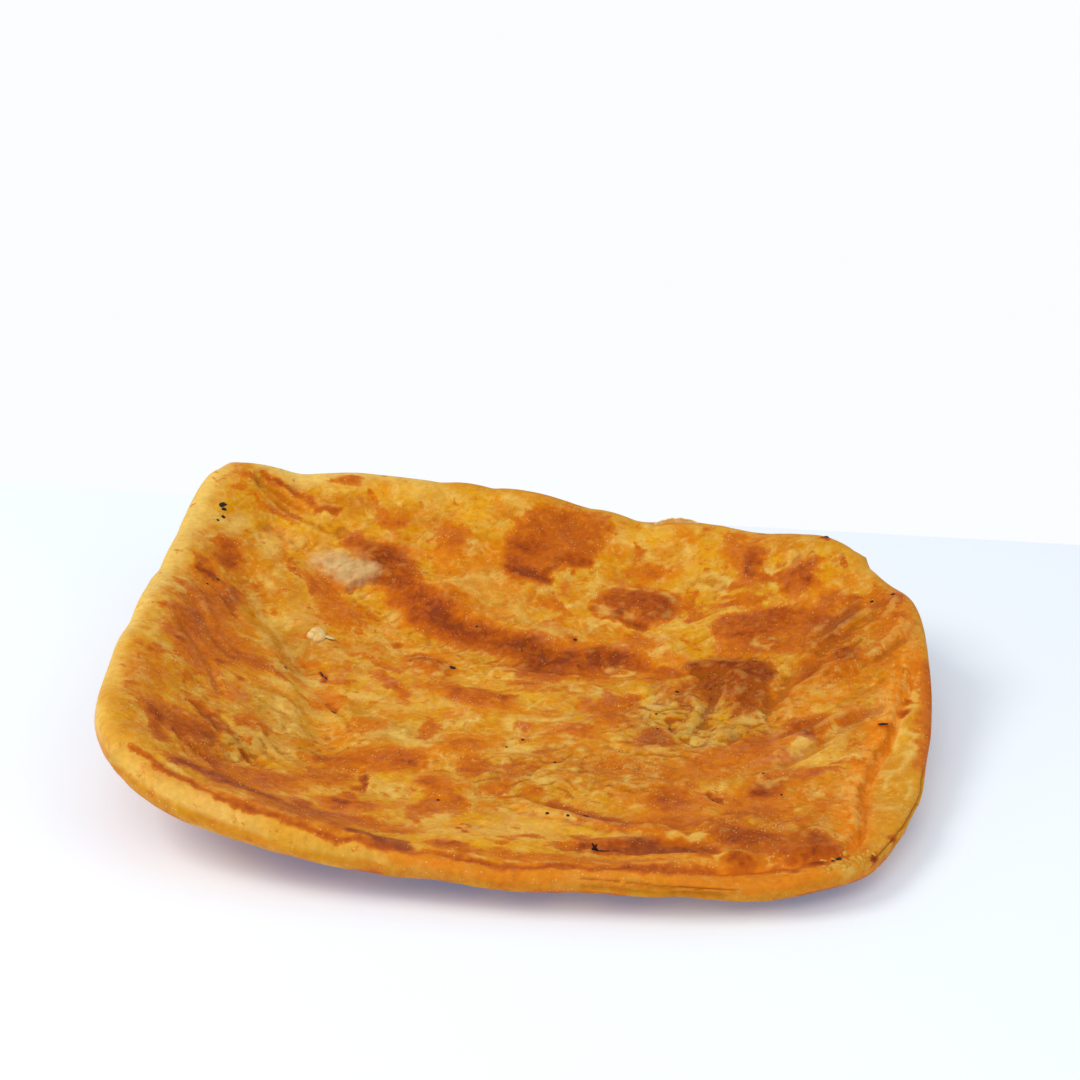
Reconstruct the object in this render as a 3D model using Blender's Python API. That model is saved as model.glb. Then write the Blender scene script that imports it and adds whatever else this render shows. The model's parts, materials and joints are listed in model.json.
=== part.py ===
# Msemen: a square flatbread of folded, oiled dough layers, browned in a pan. It lies as a shallow dish:
# flat in the middle, with a thick rounded rim that curls up highest at the back left corner.
# Metres, +Z up. The origin is under the middle of the bread, on the surface that it rests on.
# The plan is worked out over a square (u, v): u runs from left to right and v from front to back,
# both from -1 to 1.

import bmesh
import bpy
import numpy as np

# Outline in plan: four corners, how square each one is, and how far each side bows out between them
CORNERS = {
    "front_left": (-0.0875, -0.0765),
    "front_right": (0.081, -0.074),
    "back_right": (0.0885, 0.0635),
    "back_left": (-0.1015, 0.0815),
}
SQUARENESS = {"front_left": 6.5, "front_right": 9.5, "back_right": 5.5, "back_left": 11.0}
BOW = {"front": 0.0085, "right": 0.0115, "back": 0.012, "left": 0.0045}
MIDDLE = (-0.0023, 0.0006)  # middle of that outline, which becomes the origin
ROUNDING_START = 0.4  # share of the way out where the corners start to round

# Stations round the rim: three a side, from the front left corner by the front right one
RIM_TOP = [0.029, 0.017, 0.012, 0.012, 0.0125, 0.0205, 0.032, 0.0305, 0.0365, 0.039, 0.032, 0.032]
RIM_THICKNESS = [0.0105, 0.0085, 0.007, 0.008, 0.008, 0.0085, 0.009, 0.009, 0.009, 0.0095, 0.0095, 0.010]
WALL_FOOT = [0.5, 0.6, 0.6, 0.5, 0.4, 0.3, 0.25, 0.25, 0.25, 0.3, 0.4, 0.45]  # where the wall starts to rise
MIDDLE_THICKNESS = 0.009
THICKNESS_CHANGE = (0.3, 0.9)  # share of the way out over which the middle's thickness becomes the rim's
WALL_CURVE = 1.5  # 1 is a straight wall, 2 a parabola
DISH_SQUARENESS = 4.0  # of the wall's foot line

# Rounded edge
NOSE_WIDTH = 0.058  # share of the way out that the rounded edge takes
NOSE_FULLNESS = 0.85  # 1 is a half circle, less is boxier

# Mesh
RINGS = 23  # from the middle to the edge
NOSE_RINGS = 3  # of those, on the rounded edge

# Bends of the whole sheet: x, y, radius, lift
BENDS = [
    (-0.098, 0.078, 0.024, 0.0035),  # curled back left corner
    (0.070, 0.065, 0.015, 0.0023),  # crest beside the back right corner
    (0.087, 0.052, 0.014, -0.0020),  # notch in front of it
    (0.093, 0.037, 0.010, 0.0008),
    (-0.008, 0.082, 0.016, 0.0014),  # waves of the back rim
    (0.017, 0.080, 0.010, -0.0010),
    (0.035, 0.078, 0.011, 0.0012),
    (0.051, 0.074, 0.010, -0.0010),
    (-0.040, 0.086, 0.018, 0.0006),
    (-0.029, 0.087, 0.009, 0.0018),
    (-0.072, 0.084, 0.014, -0.0012),
    (-0.100, 0.036, 0.012, 0.0010),  # bumps of the left rim
    (-0.098, 0.004, 0.010, 0.0009),
]

# Creases and ridges of the top: depth (less than 0 for a ridge), half width, points
CREASES = {
    "left_valley": (
        0.0019, 0.0085,
        [(-0.086, 0.042), (-0.075, 0.026), (-0.062, 0.013), (-0.051, -0.009), (-0.043, -0.029)],
    ),
    "corner_groove": (0.0018, 0.0035, [(-0.087, 0.076), (-0.078, 0.073), (-0.070, 0.070), (-0.061, 0.067)]),
    "band_foot": (
        0.0011, 0.0060,
        [(-0.050, 0.046), (-0.036, 0.036), (-0.020, 0.028), (0.0, 0.022), (0.020, 0.022), (0.034, 0.019)],
    ),
    "band_back": (
        -0.0010, 0.0070,
        [(-0.048, 0.056), (-0.030, 0.049), (-0.014, 0.037), (0.004, 0.033), (0.030, 0.031)],
    ),
    "front_left_fold": (0.0012, 0.0030, [(-0.075, -0.033), (-0.070, -0.036), (-0.065, -0.040)]),
    "front_left_pleat": (0.0012, 0.0030, [(-0.060, -0.045), (-0.054, -0.049)]),
    "back_left_fold": (0.0010, 0.0040, [(-0.082, 0.062), (-0.068, 0.061), (-0.052, 0.064)]),
    "front_ridge": (-0.0010, 0.0035, [(0.006, -0.050), (0.020, -0.053), (0.040, -0.060)]),
    "front_furrow": (0.0010, 0.0035, [(0.018, -0.069), (0.032, -0.067), (0.046, -0.064)]),
    "right_ridge": (-0.0010, 0.0040, [(0.092, 0.030), (0.078, 0.018), (0.066, 0.009)]),
    "right_furrow": (0.0010, 0.0035, [(0.086, 0.038), (0.074, 0.028), (0.064, 0.014), (0.059, 0.002)]),
    "low_right_ridge": (-0.0009, 0.0040, [(0.088, 0.008), (0.076, -0.004), (0.066, -0.014)]),
    "low_right_furrow": (0.0009, 0.0035, [(0.084, -0.002), (0.074, -0.010), (0.064, -0.024)]),
    "middle_furrow": (0.0010, 0.0030, [(0.041, 0.020), (0.045, 0.008), (0.044, -0.006)]),
}

# Blisters of the top: x, y, half length, half width, turn in degrees, height
BLISTERS = [
    (0.000, 0.066, 0.016, 0.010, 15, 0.0011),
    (0.021, 0.045, 0.012, 0.0075, -8, 0.0015),
    (-0.027, 0.017, 0.008, 0.006, -45, 0.0010),
    (-0.016, 0.003, 0.011, 0.0055, -20, 0.0010),
    (0.050, 0.013, 0.010, 0.009, -30, 0.0014),
    (0.027, 0.013, 0.008, 0.006, 20, 0.0008),
    (0.040, 0.053, 0.005, 0.0035, 0, 0.0006),
    (0.048, -0.010, 0.0045, 0.004, 0, 0.0008),
    (0.010, 0.002, 0.011, 0.007, 0, 0.0007),
    (0.052, 0.034, 0.011, 0.009, 0, 0.0009),
    (0.054, -0.068, 0.0055, 0.0035, 10, 0.0012),
    (0.070, -0.058, 0.006, 0.004, 0, 0.0008),
    (-0.055, 0.051, 0.010, 0.006, 0, 0.0007),
    (-0.028, 0.063, 0.009, 0.007, -40, 0.0008),
    (-0.057, 0.022, 0.0035, 0.003, 0, 0.0009),
]

# The top layer ends short of the rim at the right and front right, where the layer below shows
LAYER_EDGE = [
    (0.096, 0.028), (0.092, 0.010), (0.0895, -0.002), (0.086, -0.016), (0.0815, -0.036),
    (0.0805, -0.054), (0.077, -0.065), (0.062, -0.0695), (0.048, -0.075), (0.034, -0.081),
]
LAYER_STEP = 0.0028
LAYER_RUN = 0.003  # width of the step's rounded face
LAYER_FADE = 0.018  # length over which the step dies out at each end

# Unevenness of hand-folded dough: a sum of waves
WAVE_COUNT = 14
WAVE_LENGTHS = (0.014, 0.040)
WAVE_SEED = 5
TOP_WAVE = 0.00055
RIM_WAVE = 0.0007
RIM_WAVE_START = 0.7  # share of the way out where the rim's waves set in

CRUST_COLOUR = (0.63, 0.25, 0.035, 1.0)
CRUST_ROUGHNESS = 0.45
SLOPE_STEP = 0.04  # step of (u, v) over which slopes are measured
TINY = 1e-6  # keeps divisions away from 0
WELD_DISTANCE = 1e-6


def smooth(start, end, value):
    """Rises from 0 at start to 1 at end, level at both."""
    share = np.clip((value - start) / (end - start), 0, 1)
    return share * share * (3 - 2 * share)


def around_rim(stations, u, v):
    """A closed smooth curve through the stations, read at the rim point on the ray through (u, v)."""
    reach = np.maximum(np.maximum(abs(u), abs(v)), TINY)
    a, b = u / reach, v / reach
    side = np.where(b <= TINY - 1, 0, np.where(a >= 1 - TINY, 1, np.where(b >= 1 - TINY, 2, 3)))
    turn = np.choose(side, [(a + 1) / 2, 1 + (b + 1) / 2, 2 + (1 - a) / 2, 3 + (1 - b) / 2])
    values = np.array(stations)
    place = turn * len(values) / 4
    first = np.floor(place).astype(int)
    t = place - first
    before, here, after, beyond = (values[(first + k) % len(values)] for k in (-1, 0, 1, 2))
    return 0.5 * (
        2 * here
        + (after - before) * t
        + (2 * before - 5 * here + 4 * after - beyond) * t**2
        + (3 * here - before - 3 * after + beyond) * t**3
    )


def waves(x, y, seed_shift=0):
    """Unevenness between about -1 and 1: sine waves of drawn directions and lengths."""
    draw = np.random.default_rng(WAVE_SEED + seed_shift)
    total = np.zeros_like(x)
    for _ in range(WAVE_COUNT):
        heading, phase = draw.uniform(0, 2 * np.pi, 2)
        length = draw.uniform(*WAVE_LENGTHS)
        total += np.sin((x * np.cos(heading) + y * np.sin(heading)) * 2 * np.pi / length + phase)
    return total / np.sqrt(2 * WAVE_COUNT)


def plan(u, v):
    """Place in plan of a point of the square: corners rounded, sides bowed."""
    reach = np.maximum(abs(u), abs(v))
    a, b = u / np.maximum(reach, TINY), v / np.maximum(reach, TINY)
    weights = {
        "front_left": (1 - u) * (1 - v) / 4,
        "front_right": (1 + u) * (1 - v) / 4,
        "back_right": (1 + u) * (1 + v) / 4,
        "back_left": (1 - u) * (1 + v) / 4,
    }
    power = sum(weights[name] * SQUARENESS[name] for name in CORNERS)
    rounding = np.maximum(abs(a) ** power + abs(b) ** power, 1) ** (-1 / power)
    scale = 1 + (rounding - 1) * smooth(ROUNDING_START, 1, reach)
    u, v = u * scale, v * scale
    left, right, front, back = (1 - u) / 2, (1 + u) / 2, (1 - v) / 2, (1 + v) / 2
    shares = [("front_left", left * front), ("front_right", right * front),
              ("back_right", right * back), ("back_left", left * back)]
    x = sum(share * CORNERS[name][0] for name, share in shares)
    y = sum(share * CORNERS[name][1] for name, share in shares)
    x += BOW["right"] * (1 - v**2) * np.clip(u, 0, 1) ** 2 - BOW["left"] * (1 - v**2) * np.clip(-u, 0, 1) ** 2
    y += BOW["back"] * (1 - u**2) * np.clip(v, 0, 1) ** 2 - BOW["front"] * (1 - u**2) * np.clip(-v, 0, 1) ** 2
    return x, y


def thickness(u, v):
    reach = np.maximum(abs(u), abs(v))
    change = smooth(*THICKNESS_CHANGE, reach)
    return MIDDLE_THICKNESS + (around_rim(RIM_THICKNESS, u, v) - MIDDLE_THICKNESS) * change


def underside(u, v):
    """Height of the underside: flat in the middle, then a wall that rises to the rim."""
    x, y = plan(u, v)
    reach = np.maximum(abs(u), abs(v))
    distance = (abs(u) ** DISH_SQUARENESS + abs(v) ** DISH_SQUARENESS) ** (1 / DISH_SQUARENESS)
    rim_distance = np.maximum(distance / np.maximum(reach, TINY), 1)
    foot = around_rim(WALL_FOOT, u, v)
    climb = np.clip((distance - foot) / (rim_distance - foot), 0, 1) ** WALL_CURVE
    height = (around_rim(RIM_TOP, u, v) - around_rim(RIM_THICKNESS, u, v)) * climb
    for bend_x, bend_y, radius, lift in BENDS:
        height = height + lift * dome(np.hypot(x - bend_x, y - bend_y) / radius)
    return height + RIM_WAVE * waves(x, y, 1) * smooth(RIM_WAVE_START, 1, reach) * climb


def dome(share):
    """1 in the middle, 0 at the edge and beyond."""
    inside = np.clip(1 - share**2, 0, 1)
    return inside * inside


def along_line(x, y, points):
    """Distance to a bent line, more than 0 on its left, and how far along it the nearest point is."""
    nearest = np.full(x.shape, np.inf)
    side = np.ones(x.shape)
    run = np.zeros(x.shape)
    length = 0.0
    for (start_x, start_y), (end_x, end_y) in zip(points, points[1:]):
        step_x, step_y = end_x - start_x, end_y - start_y
        piece = np.hypot(step_x, step_y)
        share = np.clip(((x - start_x) * step_x + (y - start_y) * step_y) / piece**2, 0, 1)
        off_x, off_y = x - start_x - share * step_x, y - start_y - share * step_y
        distance = np.hypot(off_x, off_y)
        closer = distance < nearest
        nearest = np.where(closer, distance, nearest)
        side = np.where(closer, np.sign(step_x * off_y - step_y * off_x), side)
        run = np.where(closer, length + share * piece, run)
        length += piece
    return nearest * side, run, length


def layer_step(x, y):
    """Drop from the top layer to the one below it, outside the top layer's edge."""
    distance, run, length = along_line(x, y, LAYER_EDGE)
    fade = smooth(0, LAYER_FADE, run) * smooth(0, LAYER_FADE, length - run)
    return -LAYER_STEP * fade * smooth(0, LAYER_RUN, distance)


def top_relief(x, y):
    """Creases, ridges, blisters and the layer's step, as heights over the smooth top."""
    height = layer_step(x, y) + TOP_WAVE * waves(x, y)
    for depth, half_width, points in CREASES.values():
        distance = abs(along_line(x, y, points)[0])
        height -= depth * dome(distance / half_width)
    for centre_x, centre_y, half_length, half_width, turn, lift in BLISTERS:
        c, s = np.cos(np.radians(turn)), np.sin(np.radians(turn))
        along, across = (x - centre_x) * c + (y - centre_y) * s, (y - centre_y) * c - (x - centre_x) * s
        height += lift * dome(np.hypot(along / half_length, across / half_width))
    return height


def sheet_normal(u, v):
    """Unit normal of the underside's smooth surface."""
    ahead_u, behind_u = (np.array([*plan(u + d, v), underside(u + d, v)]) for d in (SLOPE_STEP, -SLOPE_STEP))
    ahead_v, behind_v = (np.array([*plan(u, v + d), underside(u, v + d)]) for d in (SLOPE_STEP, -SLOPE_STEP))
    normal = np.cross(ahead_u - behind_u, ahead_v - behind_v, axis=0)
    return normal / np.linalg.norm(normal, axis=0)


def sheet_points(u, v, face):
    """Points of the top (face 1) or underside (face -1) over the square's points, which meet at the edge."""
    reach = np.maximum(abs(u), abs(v))
    nose_start = 1 - NOSE_RINGS / RINGS
    turn = np.clip((reach - nose_start) / (1 - nose_start), 0, 1) * np.pi / 2
    inner = np.minimum(reach / nose_start, 1) * (1 - NOSE_WIDTH)
    out = inner + NOSE_WIDTH * np.sin(turn) ** NOSE_FULLNESS
    scale = out / np.maximum(reach, TINY)
    u, v = u * scale, v * scale
    x, y = plan(u, v)
    lift = np.clip(np.cos(turn), 0, 1) ** NOSE_FULLNESS
    offset = thickness(u, v) / 2 * (1 + face * lift)
    if face > 0:
        offset = offset + top_relief(x, y) * lift
    normal = sheet_normal(u, v)
    return np.array([x - MIDDLE[0], y - MIDDLE[1], underside(u, v)]) + normal * offset


def add_face_grid(bm, face):
    """One face of the bread: a square grid moved onto it."""
    segments = 2 * RINGS
    made = bmesh.ops.create_grid(bm, x_segments=segments, y_segments=segments, size=1)["verts"]
    flat = np.array([vertex.co[:2] for vertex in made]).T
    points = sheet_points(*(flat / abs(flat).max()), face)
    for vertex, point in zip(made, points.T):
        vertex.co = point
    if face < 0:
        grid_faces = {polygon for vertex in made for polygon in vertex.link_faces}
        bmesh.ops.reverse_faces(bm, faces=list(grid_faces))


def crust_material():
    material = bpy.data.materials.new("browned_crust")
    material.use_nodes = True
    shader = material.node_tree.nodes["Principled BSDF"]
    shader.inputs["Base Color"].default_value = CRUST_COLOUR
    shader.inputs["Roughness"].default_value = CRUST_ROUGHNESS
    shader.inputs["Metallic"].default_value = 0.0
    return material


def make_msemen(collection):
    bm = bmesh.new()
    add_face_grid(bm, 1)
    add_face_grid(bm, -1)
    bmesh.ops.remove_doubles(bm, verts=bm.verts[:], dist=WELD_DISTANCE)
    mesh = bpy.data.meshes.new("msemen")
    bm.to_mesh(mesh)
    bm.free()
    mesh.materials.append(crust_material())
    mesh.shade_smooth()
    collection.objects.link(bpy.data.objects.new("msemen", mesh))


def main():
    for old in list(bpy.data.objects):
        bpy.data.objects.remove(old, do_unlink=True)
    collection = bpy.data.collections.new("Msemen")
    bpy.context.scene.collection.children.link(collection)
    make_msemen(collection)


main()
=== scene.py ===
# Msemen: the looks of a square flatbread of folded, oiled dough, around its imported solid.
# The bread's form repeats the solid's own formulas on a finer grid, with crumples, laps and blisters added.
# Forms are in metres. Marks and fine relief are in millimetres, and say so.
import itertools
import json

import bpy
import numpy as np
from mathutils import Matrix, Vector

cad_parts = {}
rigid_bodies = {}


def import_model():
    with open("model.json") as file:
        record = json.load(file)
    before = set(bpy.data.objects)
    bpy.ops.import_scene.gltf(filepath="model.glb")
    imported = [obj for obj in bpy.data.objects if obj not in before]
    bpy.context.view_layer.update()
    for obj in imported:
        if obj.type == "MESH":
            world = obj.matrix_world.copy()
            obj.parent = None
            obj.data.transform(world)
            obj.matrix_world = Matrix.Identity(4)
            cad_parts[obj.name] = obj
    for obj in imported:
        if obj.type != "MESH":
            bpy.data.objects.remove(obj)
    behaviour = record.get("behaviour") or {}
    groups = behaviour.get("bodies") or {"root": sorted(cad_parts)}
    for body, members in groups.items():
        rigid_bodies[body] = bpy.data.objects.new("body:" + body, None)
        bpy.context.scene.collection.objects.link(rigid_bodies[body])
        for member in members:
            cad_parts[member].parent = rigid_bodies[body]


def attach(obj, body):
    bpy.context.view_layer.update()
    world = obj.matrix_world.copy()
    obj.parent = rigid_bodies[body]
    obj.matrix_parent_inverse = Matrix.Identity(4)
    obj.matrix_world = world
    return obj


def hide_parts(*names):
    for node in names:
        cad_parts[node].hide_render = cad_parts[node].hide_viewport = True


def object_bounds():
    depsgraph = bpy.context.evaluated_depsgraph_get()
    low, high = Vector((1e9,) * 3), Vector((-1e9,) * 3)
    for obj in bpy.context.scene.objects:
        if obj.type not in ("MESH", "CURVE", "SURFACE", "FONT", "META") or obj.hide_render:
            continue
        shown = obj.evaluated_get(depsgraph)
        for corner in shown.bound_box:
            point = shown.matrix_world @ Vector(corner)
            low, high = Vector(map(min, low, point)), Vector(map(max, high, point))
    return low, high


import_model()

cadLow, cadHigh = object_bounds()
tiny = 1e-6
mm = 0.001
boxInset = 0.01  # millimetres that the looks stay inside the solid's box


viewSettings = {
    "place": (0.06765, -0.4610, 0.2359),  # from the outline's origin
    "down": 21.61,  # degrees below level
    "turn": 8.0,
    "lens": 71.2,
    "sensor": 36.0,
}


def addObject(name, data):
    thing = bpy.data.objects.new(name, data)
    bpy.context.scene.collection.objects.link(thing)
    return thing


def makeMaterial(name, colour, roughness):
    material = bpy.data.materials.new(name)
    material.use_nodes = True
    shader = material.node_tree.nodes["Principled BSDF"]
    shader.inputs["Base Color"].default_value = (*colour, 1)
    shader.inputs["Roughness"].default_value = roughness
    return material, shader


floorSettings = {
    "farEdge": 0.1487, "slant": -0.0146, "across": 2.0, "near": -2.0,
    "colour": (0.87, 0.885, 0.87), "roughness": 0.75,
    "glow": (0.35, 0.6, 1.0), "glowStrength": 0.2,  # painted glow: the floor gives off bluish light, which lightens its shadows
}


def makeStage():
    # a wide level table; its far edge, slightly aslant, meets the backdrop's white
    across, near = floorSettings["across"], floorSettings["near"]
    far = [floorSettings["farEdge"] + floorSettings["slant"] * x for x in (across, -across)]
    corners = [(-across, near, 0), (across, near, 0), (across, far[0], 0), (-across, far[1], 0)]
    mesh = bpy.data.meshes.new("floor")
    mesh.from_pydata(corners, [], [(0, 1, 2, 3)])
    material, shader = makeMaterial("palePaper", floorSettings["colour"], floorSettings["roughness"])
    shader.inputs["Specular IOR Level"].default_value = 0.1
    # painted glow that lightens the floor's shadows
    shader.inputs["Emission Color"].default_value = (*floorSettings["glow"], 1)
    shader.inputs["Emission Strength"].default_value = floorSettings["glowStrength"]
    mesh.materials.append(material)
    addObject("floor", mesh)


lightSettings = {
    "keyFromLeft": {"at": (-0.72, -0.30, 0.85), "size": 0.5, "watts": 5.38, "colour": (1.0, 0.985, 0.96)},
    "fillFromRight": {"at": (0.85, -0.55, 0.75), "size": 0.7, "watts": 1.5, "colour": (0.95, 0.975, 1.0)},
    "aboveFront": {"at": (-0.1, -0.7, 0.9), "size": 0.6, "watts": 2.4, "colour": (1.0, 1.0, 1.0)},
}
worldSettings = {"cast": (0.545, 0.555, 0.57), "seen": (0.965, 0.985, 1.0)}


def makeLights():
    for name, values in lightSettings.items():
        light = bpy.data.lights.new(name, "AREA")
        light.energy, light.size, light.color = values["watts"], values["size"], values["colour"]
        lamp = addObject(name, light)
        lamp.location = values["at"]
        lamp.rotation_euler = (-Vector(values["at"])).to_track_quat("-Z", "Y").to_euler()
    world = bpy.data.worlds.new("softWhite")
    bpy.context.scene.world = world
    world.use_nodes = True
    tree = world.node_tree
    ray = tree.nodes.new("ShaderNodeLightPath").outputs["Is Camera Ray"]
    colour = mixOf(tree, ray, worldSettings["cast"], worldSettings["seen"])
    tree.links.new(colour, tree.nodes["Background"].inputs["Color"])


def makeCamera():
    lens = bpy.data.cameras.new("camera")
    lens.lens, lens.sensor_width = viewSettings["lens"], viewSettings["sensor"]
    camera = addObject("camera", lens)
    camera.location = Vector(viewSettings["place"]) - Vector((*breadMiddle, 0))
    camera.rotation_euler = (np.radians(90 - viewSettings["down"]), 0, np.radians(viewSettings["turn"]))
    bpy.context.scene.camera = camera
    bpy.context.scene.view_settings.view_transform = "Standard"


breadForm = {
    "corners": {
        "frontLeft": (-0.0875, -0.0765), "frontRight": (0.081, -0.074),
        "backRight": (0.0885, 0.0635), "backLeft": (-0.1015, 0.0815),
    },
    "squareness": {"frontLeft": 6.5, "frontRight": 9.5, "backRight": 5.5, "backLeft": 11.0},
    "bow": {"front": 0.0085, "right": 0.0115, "back": 0.012, "left": 0.0045},
    "middle": (-0.0023, 0.0006),
    "roundingStart": 0.4,
    "rimTop": [0.029, 0.017, 0.012, 0.012, 0.0125, 0.0205, 0.032, 0.0305, 0.0365, 0.039, 0.032, 0.032],
    "rimThickness": [0.0105, 0.0085, 0.007, 0.008, 0.008, 0.0085, 0.009, 0.009, 0.009, 0.0095, 0.0095, 0.010],
    "wallFoot": [0.5, 0.6, 0.6, 0.5, 0.4, 0.3, 0.25, 0.25, 0.25, 0.3, 0.4, 0.45],
    "middleThickness": 0.009,
    "thicknessChange": (0.3, 0.9),
    "wallCurve": 1.5,
    "dishSquareness": 4.0,
    "noseWidth": 0.058,  # share of the way out that the rounded edge takes
    "noseFullness": 0.85,
    "slopeStep": 0.04,
    "bends": [  # of the whole sheet: x, y, radius, lift
        (-0.098, 0.078, 0.024, 0.0035), (0.07, 0.065, 0.015, 0.0023), (0.087, 0.052, 0.014, -0.002),
        (0.093, 0.037, 0.01, 0.0008), (-0.008, 0.082, 0.016, 0.0014), (0.017, 0.08, 0.01, -0.001),
        (0.035, 0.078, 0.011, 0.0012), (0.051, 0.074, 0.01, -0.001), (-0.04, 0.086, 0.018, 0.0006),
        (-0.029, 0.087, 0.009, 0.0018), (-0.072, 0.084, 0.014, -0.0012), (-0.1, 0.036, 0.012, 0.001),
        (-0.098, 0.004, 0.01, 0.0009),
    ],
    "creases": [  # depth, half width, points
        (0.0019, 0.0085, [(-0.086, 0.042), (-0.075, 0.026), (-0.062, 0.013), (-0.051, -0.009),
            (-0.043, -0.029)]),
        (0.0018, 0.0035, [(-0.087, 0.076), (-0.078, 0.073), (-0.07, 0.07), (-0.061, 0.067)]),
        (0.0011, 0.006, [(-0.05, 0.046), (-0.036, 0.036), (-0.02, 0.028), (0, 0.022), (0.02, 0.022),
            (0.034, 0.019)]),
        (-0.001, 0.007, [(-0.048, 0.056), (-0.03, 0.049), (-0.014, 0.037), (0.004, 0.033), (0.03, 0.031)]),
        (0.0012, 0.003, [(-0.075, -0.033), (-0.07, -0.036), (-0.065, -0.04)]),
        (0.0012, 0.003, [(-0.06, -0.045), (-0.054, -0.049)]),
        (0.001, 0.004, [(-0.082, 0.062), (-0.068, 0.061), (-0.052, 0.064)]),
        (-0.001, 0.0035, [(0.006, -0.05), (0.02, -0.053), (0.04, -0.06)]),
        (0.001, 0.0035, [(0.018, -0.069), (0.032, -0.067), (0.046, -0.064)]),
        (-0.001, 0.004, [(0.092, 0.03), (0.078, 0.018), (0.066, 0.009)]),
        (0.001, 0.0035, [(0.086, 0.038), (0.074, 0.028), (0.064, 0.014), (0.059, 0.002)]),
        (-0.0009, 0.004, [(0.088, 0.008), (0.076, -0.004), (0.066, -0.014)]),
        (0.0009, 0.0035, [(0.084, -0.002), (0.074, -0.01), (0.064, -0.024)]),
        (0.001, 0.003, [(0.041, 0.02), (0.045, 0.008), (0.044, -0.006)]),
    ],
    "blisters": [  # x, y, half length, half width, turn in degrees, height
        (0, 0.066, 0.016, 0.01, 15, 0.0011), (0.021, 0.045, 0.012, 0.0075, -8, 0.0015),
        (-0.027, 0.017, 0.008, 0.006, -45, 0.001), (-0.016, 0.003, 0.011, 0.0055, -20, 0.001),
        (0.05, 0.013, 0.01, 0.009, -30, 0.0014), (0.027, 0.013, 0.008, 0.006, 20, 0.0008),
        (0.04, 0.053, 0.005, 0.0035, 0, 0.0006), (0.048, -0.01, 0.0045, 0.004, 0, 0.0008),
        (0.01, 0.002, 0.011, 0.007, 0, 0.0007), (0.052, 0.034, 0.011, 0.009, 0, 0.0009),
        (0.054, -0.068, 0.0055, 0.0035, 10, 0.0012), (0.07, -0.058, 0.006, 0.004, 0, 0.0008),
        (-0.055, 0.051, 0.01, 0.006, 0, 0.0007), (-0.028, 0.063, 0.009, 0.007, -40, 0.0008),
        (-0.057, 0.022, 0.0035, 0.003, 0, 0.0009),
    ],
    "layerEdge": [
        (0.096, 0.028), (0.092, 0.01), (0.0895, -0.002), (0.086, -0.016), (0.0815, -0.036), (0.0805, -0.054),
        (0.077, -0.065), (0.062, -0.0695), (0.048, -0.075), (0.034, -0.081),
    ],
    "layerStep": 0.0028,
    "layerFade": 0.018,
    "waveCount": 14,
    "waveLengths": (0.014, 0.040),
    "waveSeed": 5,
    "topWave": 0.00055,
    "rimWave": 0.0007,
    "rimWaveStart": 0.7,
    "ear": (-96.2, 76.9, 9.0),  # back left corner's tip from the origin, reach of its softening: millimetres
    "earRounds": 34,
}
breadMiddle = breadForm["middle"]


def smoothStep(start, end, value):
    # 3t^2 - 2t^3 of the share t of the way from start to end
    share = np.clip((value - start) / (end - start), 0, 1)
    return share * share * (3 - 2 * share)


def dome(share):
    # (1 - share^2)^2 inside, 0 beyond
    inside = np.clip(1 - share**2, 0, 1)
    return inside * inside


def ellipseShare(x, y, centreX, centreY, halfLength, halfWidth, turn=0):
    # distance from the centre of a turned ellipse, 1 on its line
    c, s = np.cos(np.radians(turn)), np.sin(np.radians(turn))
    along, across = (x - centreX) * c + (y - centreY) * s, (y - centreY) * c - (x - centreX) * s
    return np.hypot(along / halfLength, across / halfWidth)


def aroundRim(stations, u, v):
    # closed Catmull-Rom curve through the stations, three a side from the front left corner
    reach = np.maximum(np.maximum(abs(u), abs(v)), tiny)
    a, b = u / reach, v / reach
    side = np.where(b <= tiny - 1, 0, np.where(a >= 1 - tiny, 1, np.where(b >= 1 - tiny, 2, 3)))
    turn = np.choose(side, [(a + 1) / 2, 1 + (b + 1) / 2, 2 + (1 - a) / 2, 3 + (1 - b) / 2])
    values = np.array(stations)
    place = turn * len(values) / 4
    first = np.floor(place).astype(int)
    t = place - first
    before, here, after, beyond = (values[(first + k) % len(values)] for k in (-1, 0, 1, 2))
    return 0.5 * (
        2 * here + (after - before) * t
        + (2 * before - 5 * here + 4 * after - beyond) * t**2
        + (3 * here - before - 3 * after + beyond) * t**3
    )


def waveSum(x, y, seedShift=0):
    # sum of sines of drawn headings, lengths and phases, about -1 to 1
    draw = np.random.default_rng(breadForm["waveSeed"] + seedShift)
    total = np.zeros_like(x)
    for _ in range(breadForm["waveCount"]):
        heading, phase = draw.uniform(0, 2 * np.pi, 2)
        length = draw.uniform(*breadForm["waveLengths"])
        total += np.sin((x * np.cos(heading) + y * np.sin(heading)) * 2 * np.pi / length + phase)
    return total / np.sqrt(2 * breadForm["waveCount"])


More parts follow.
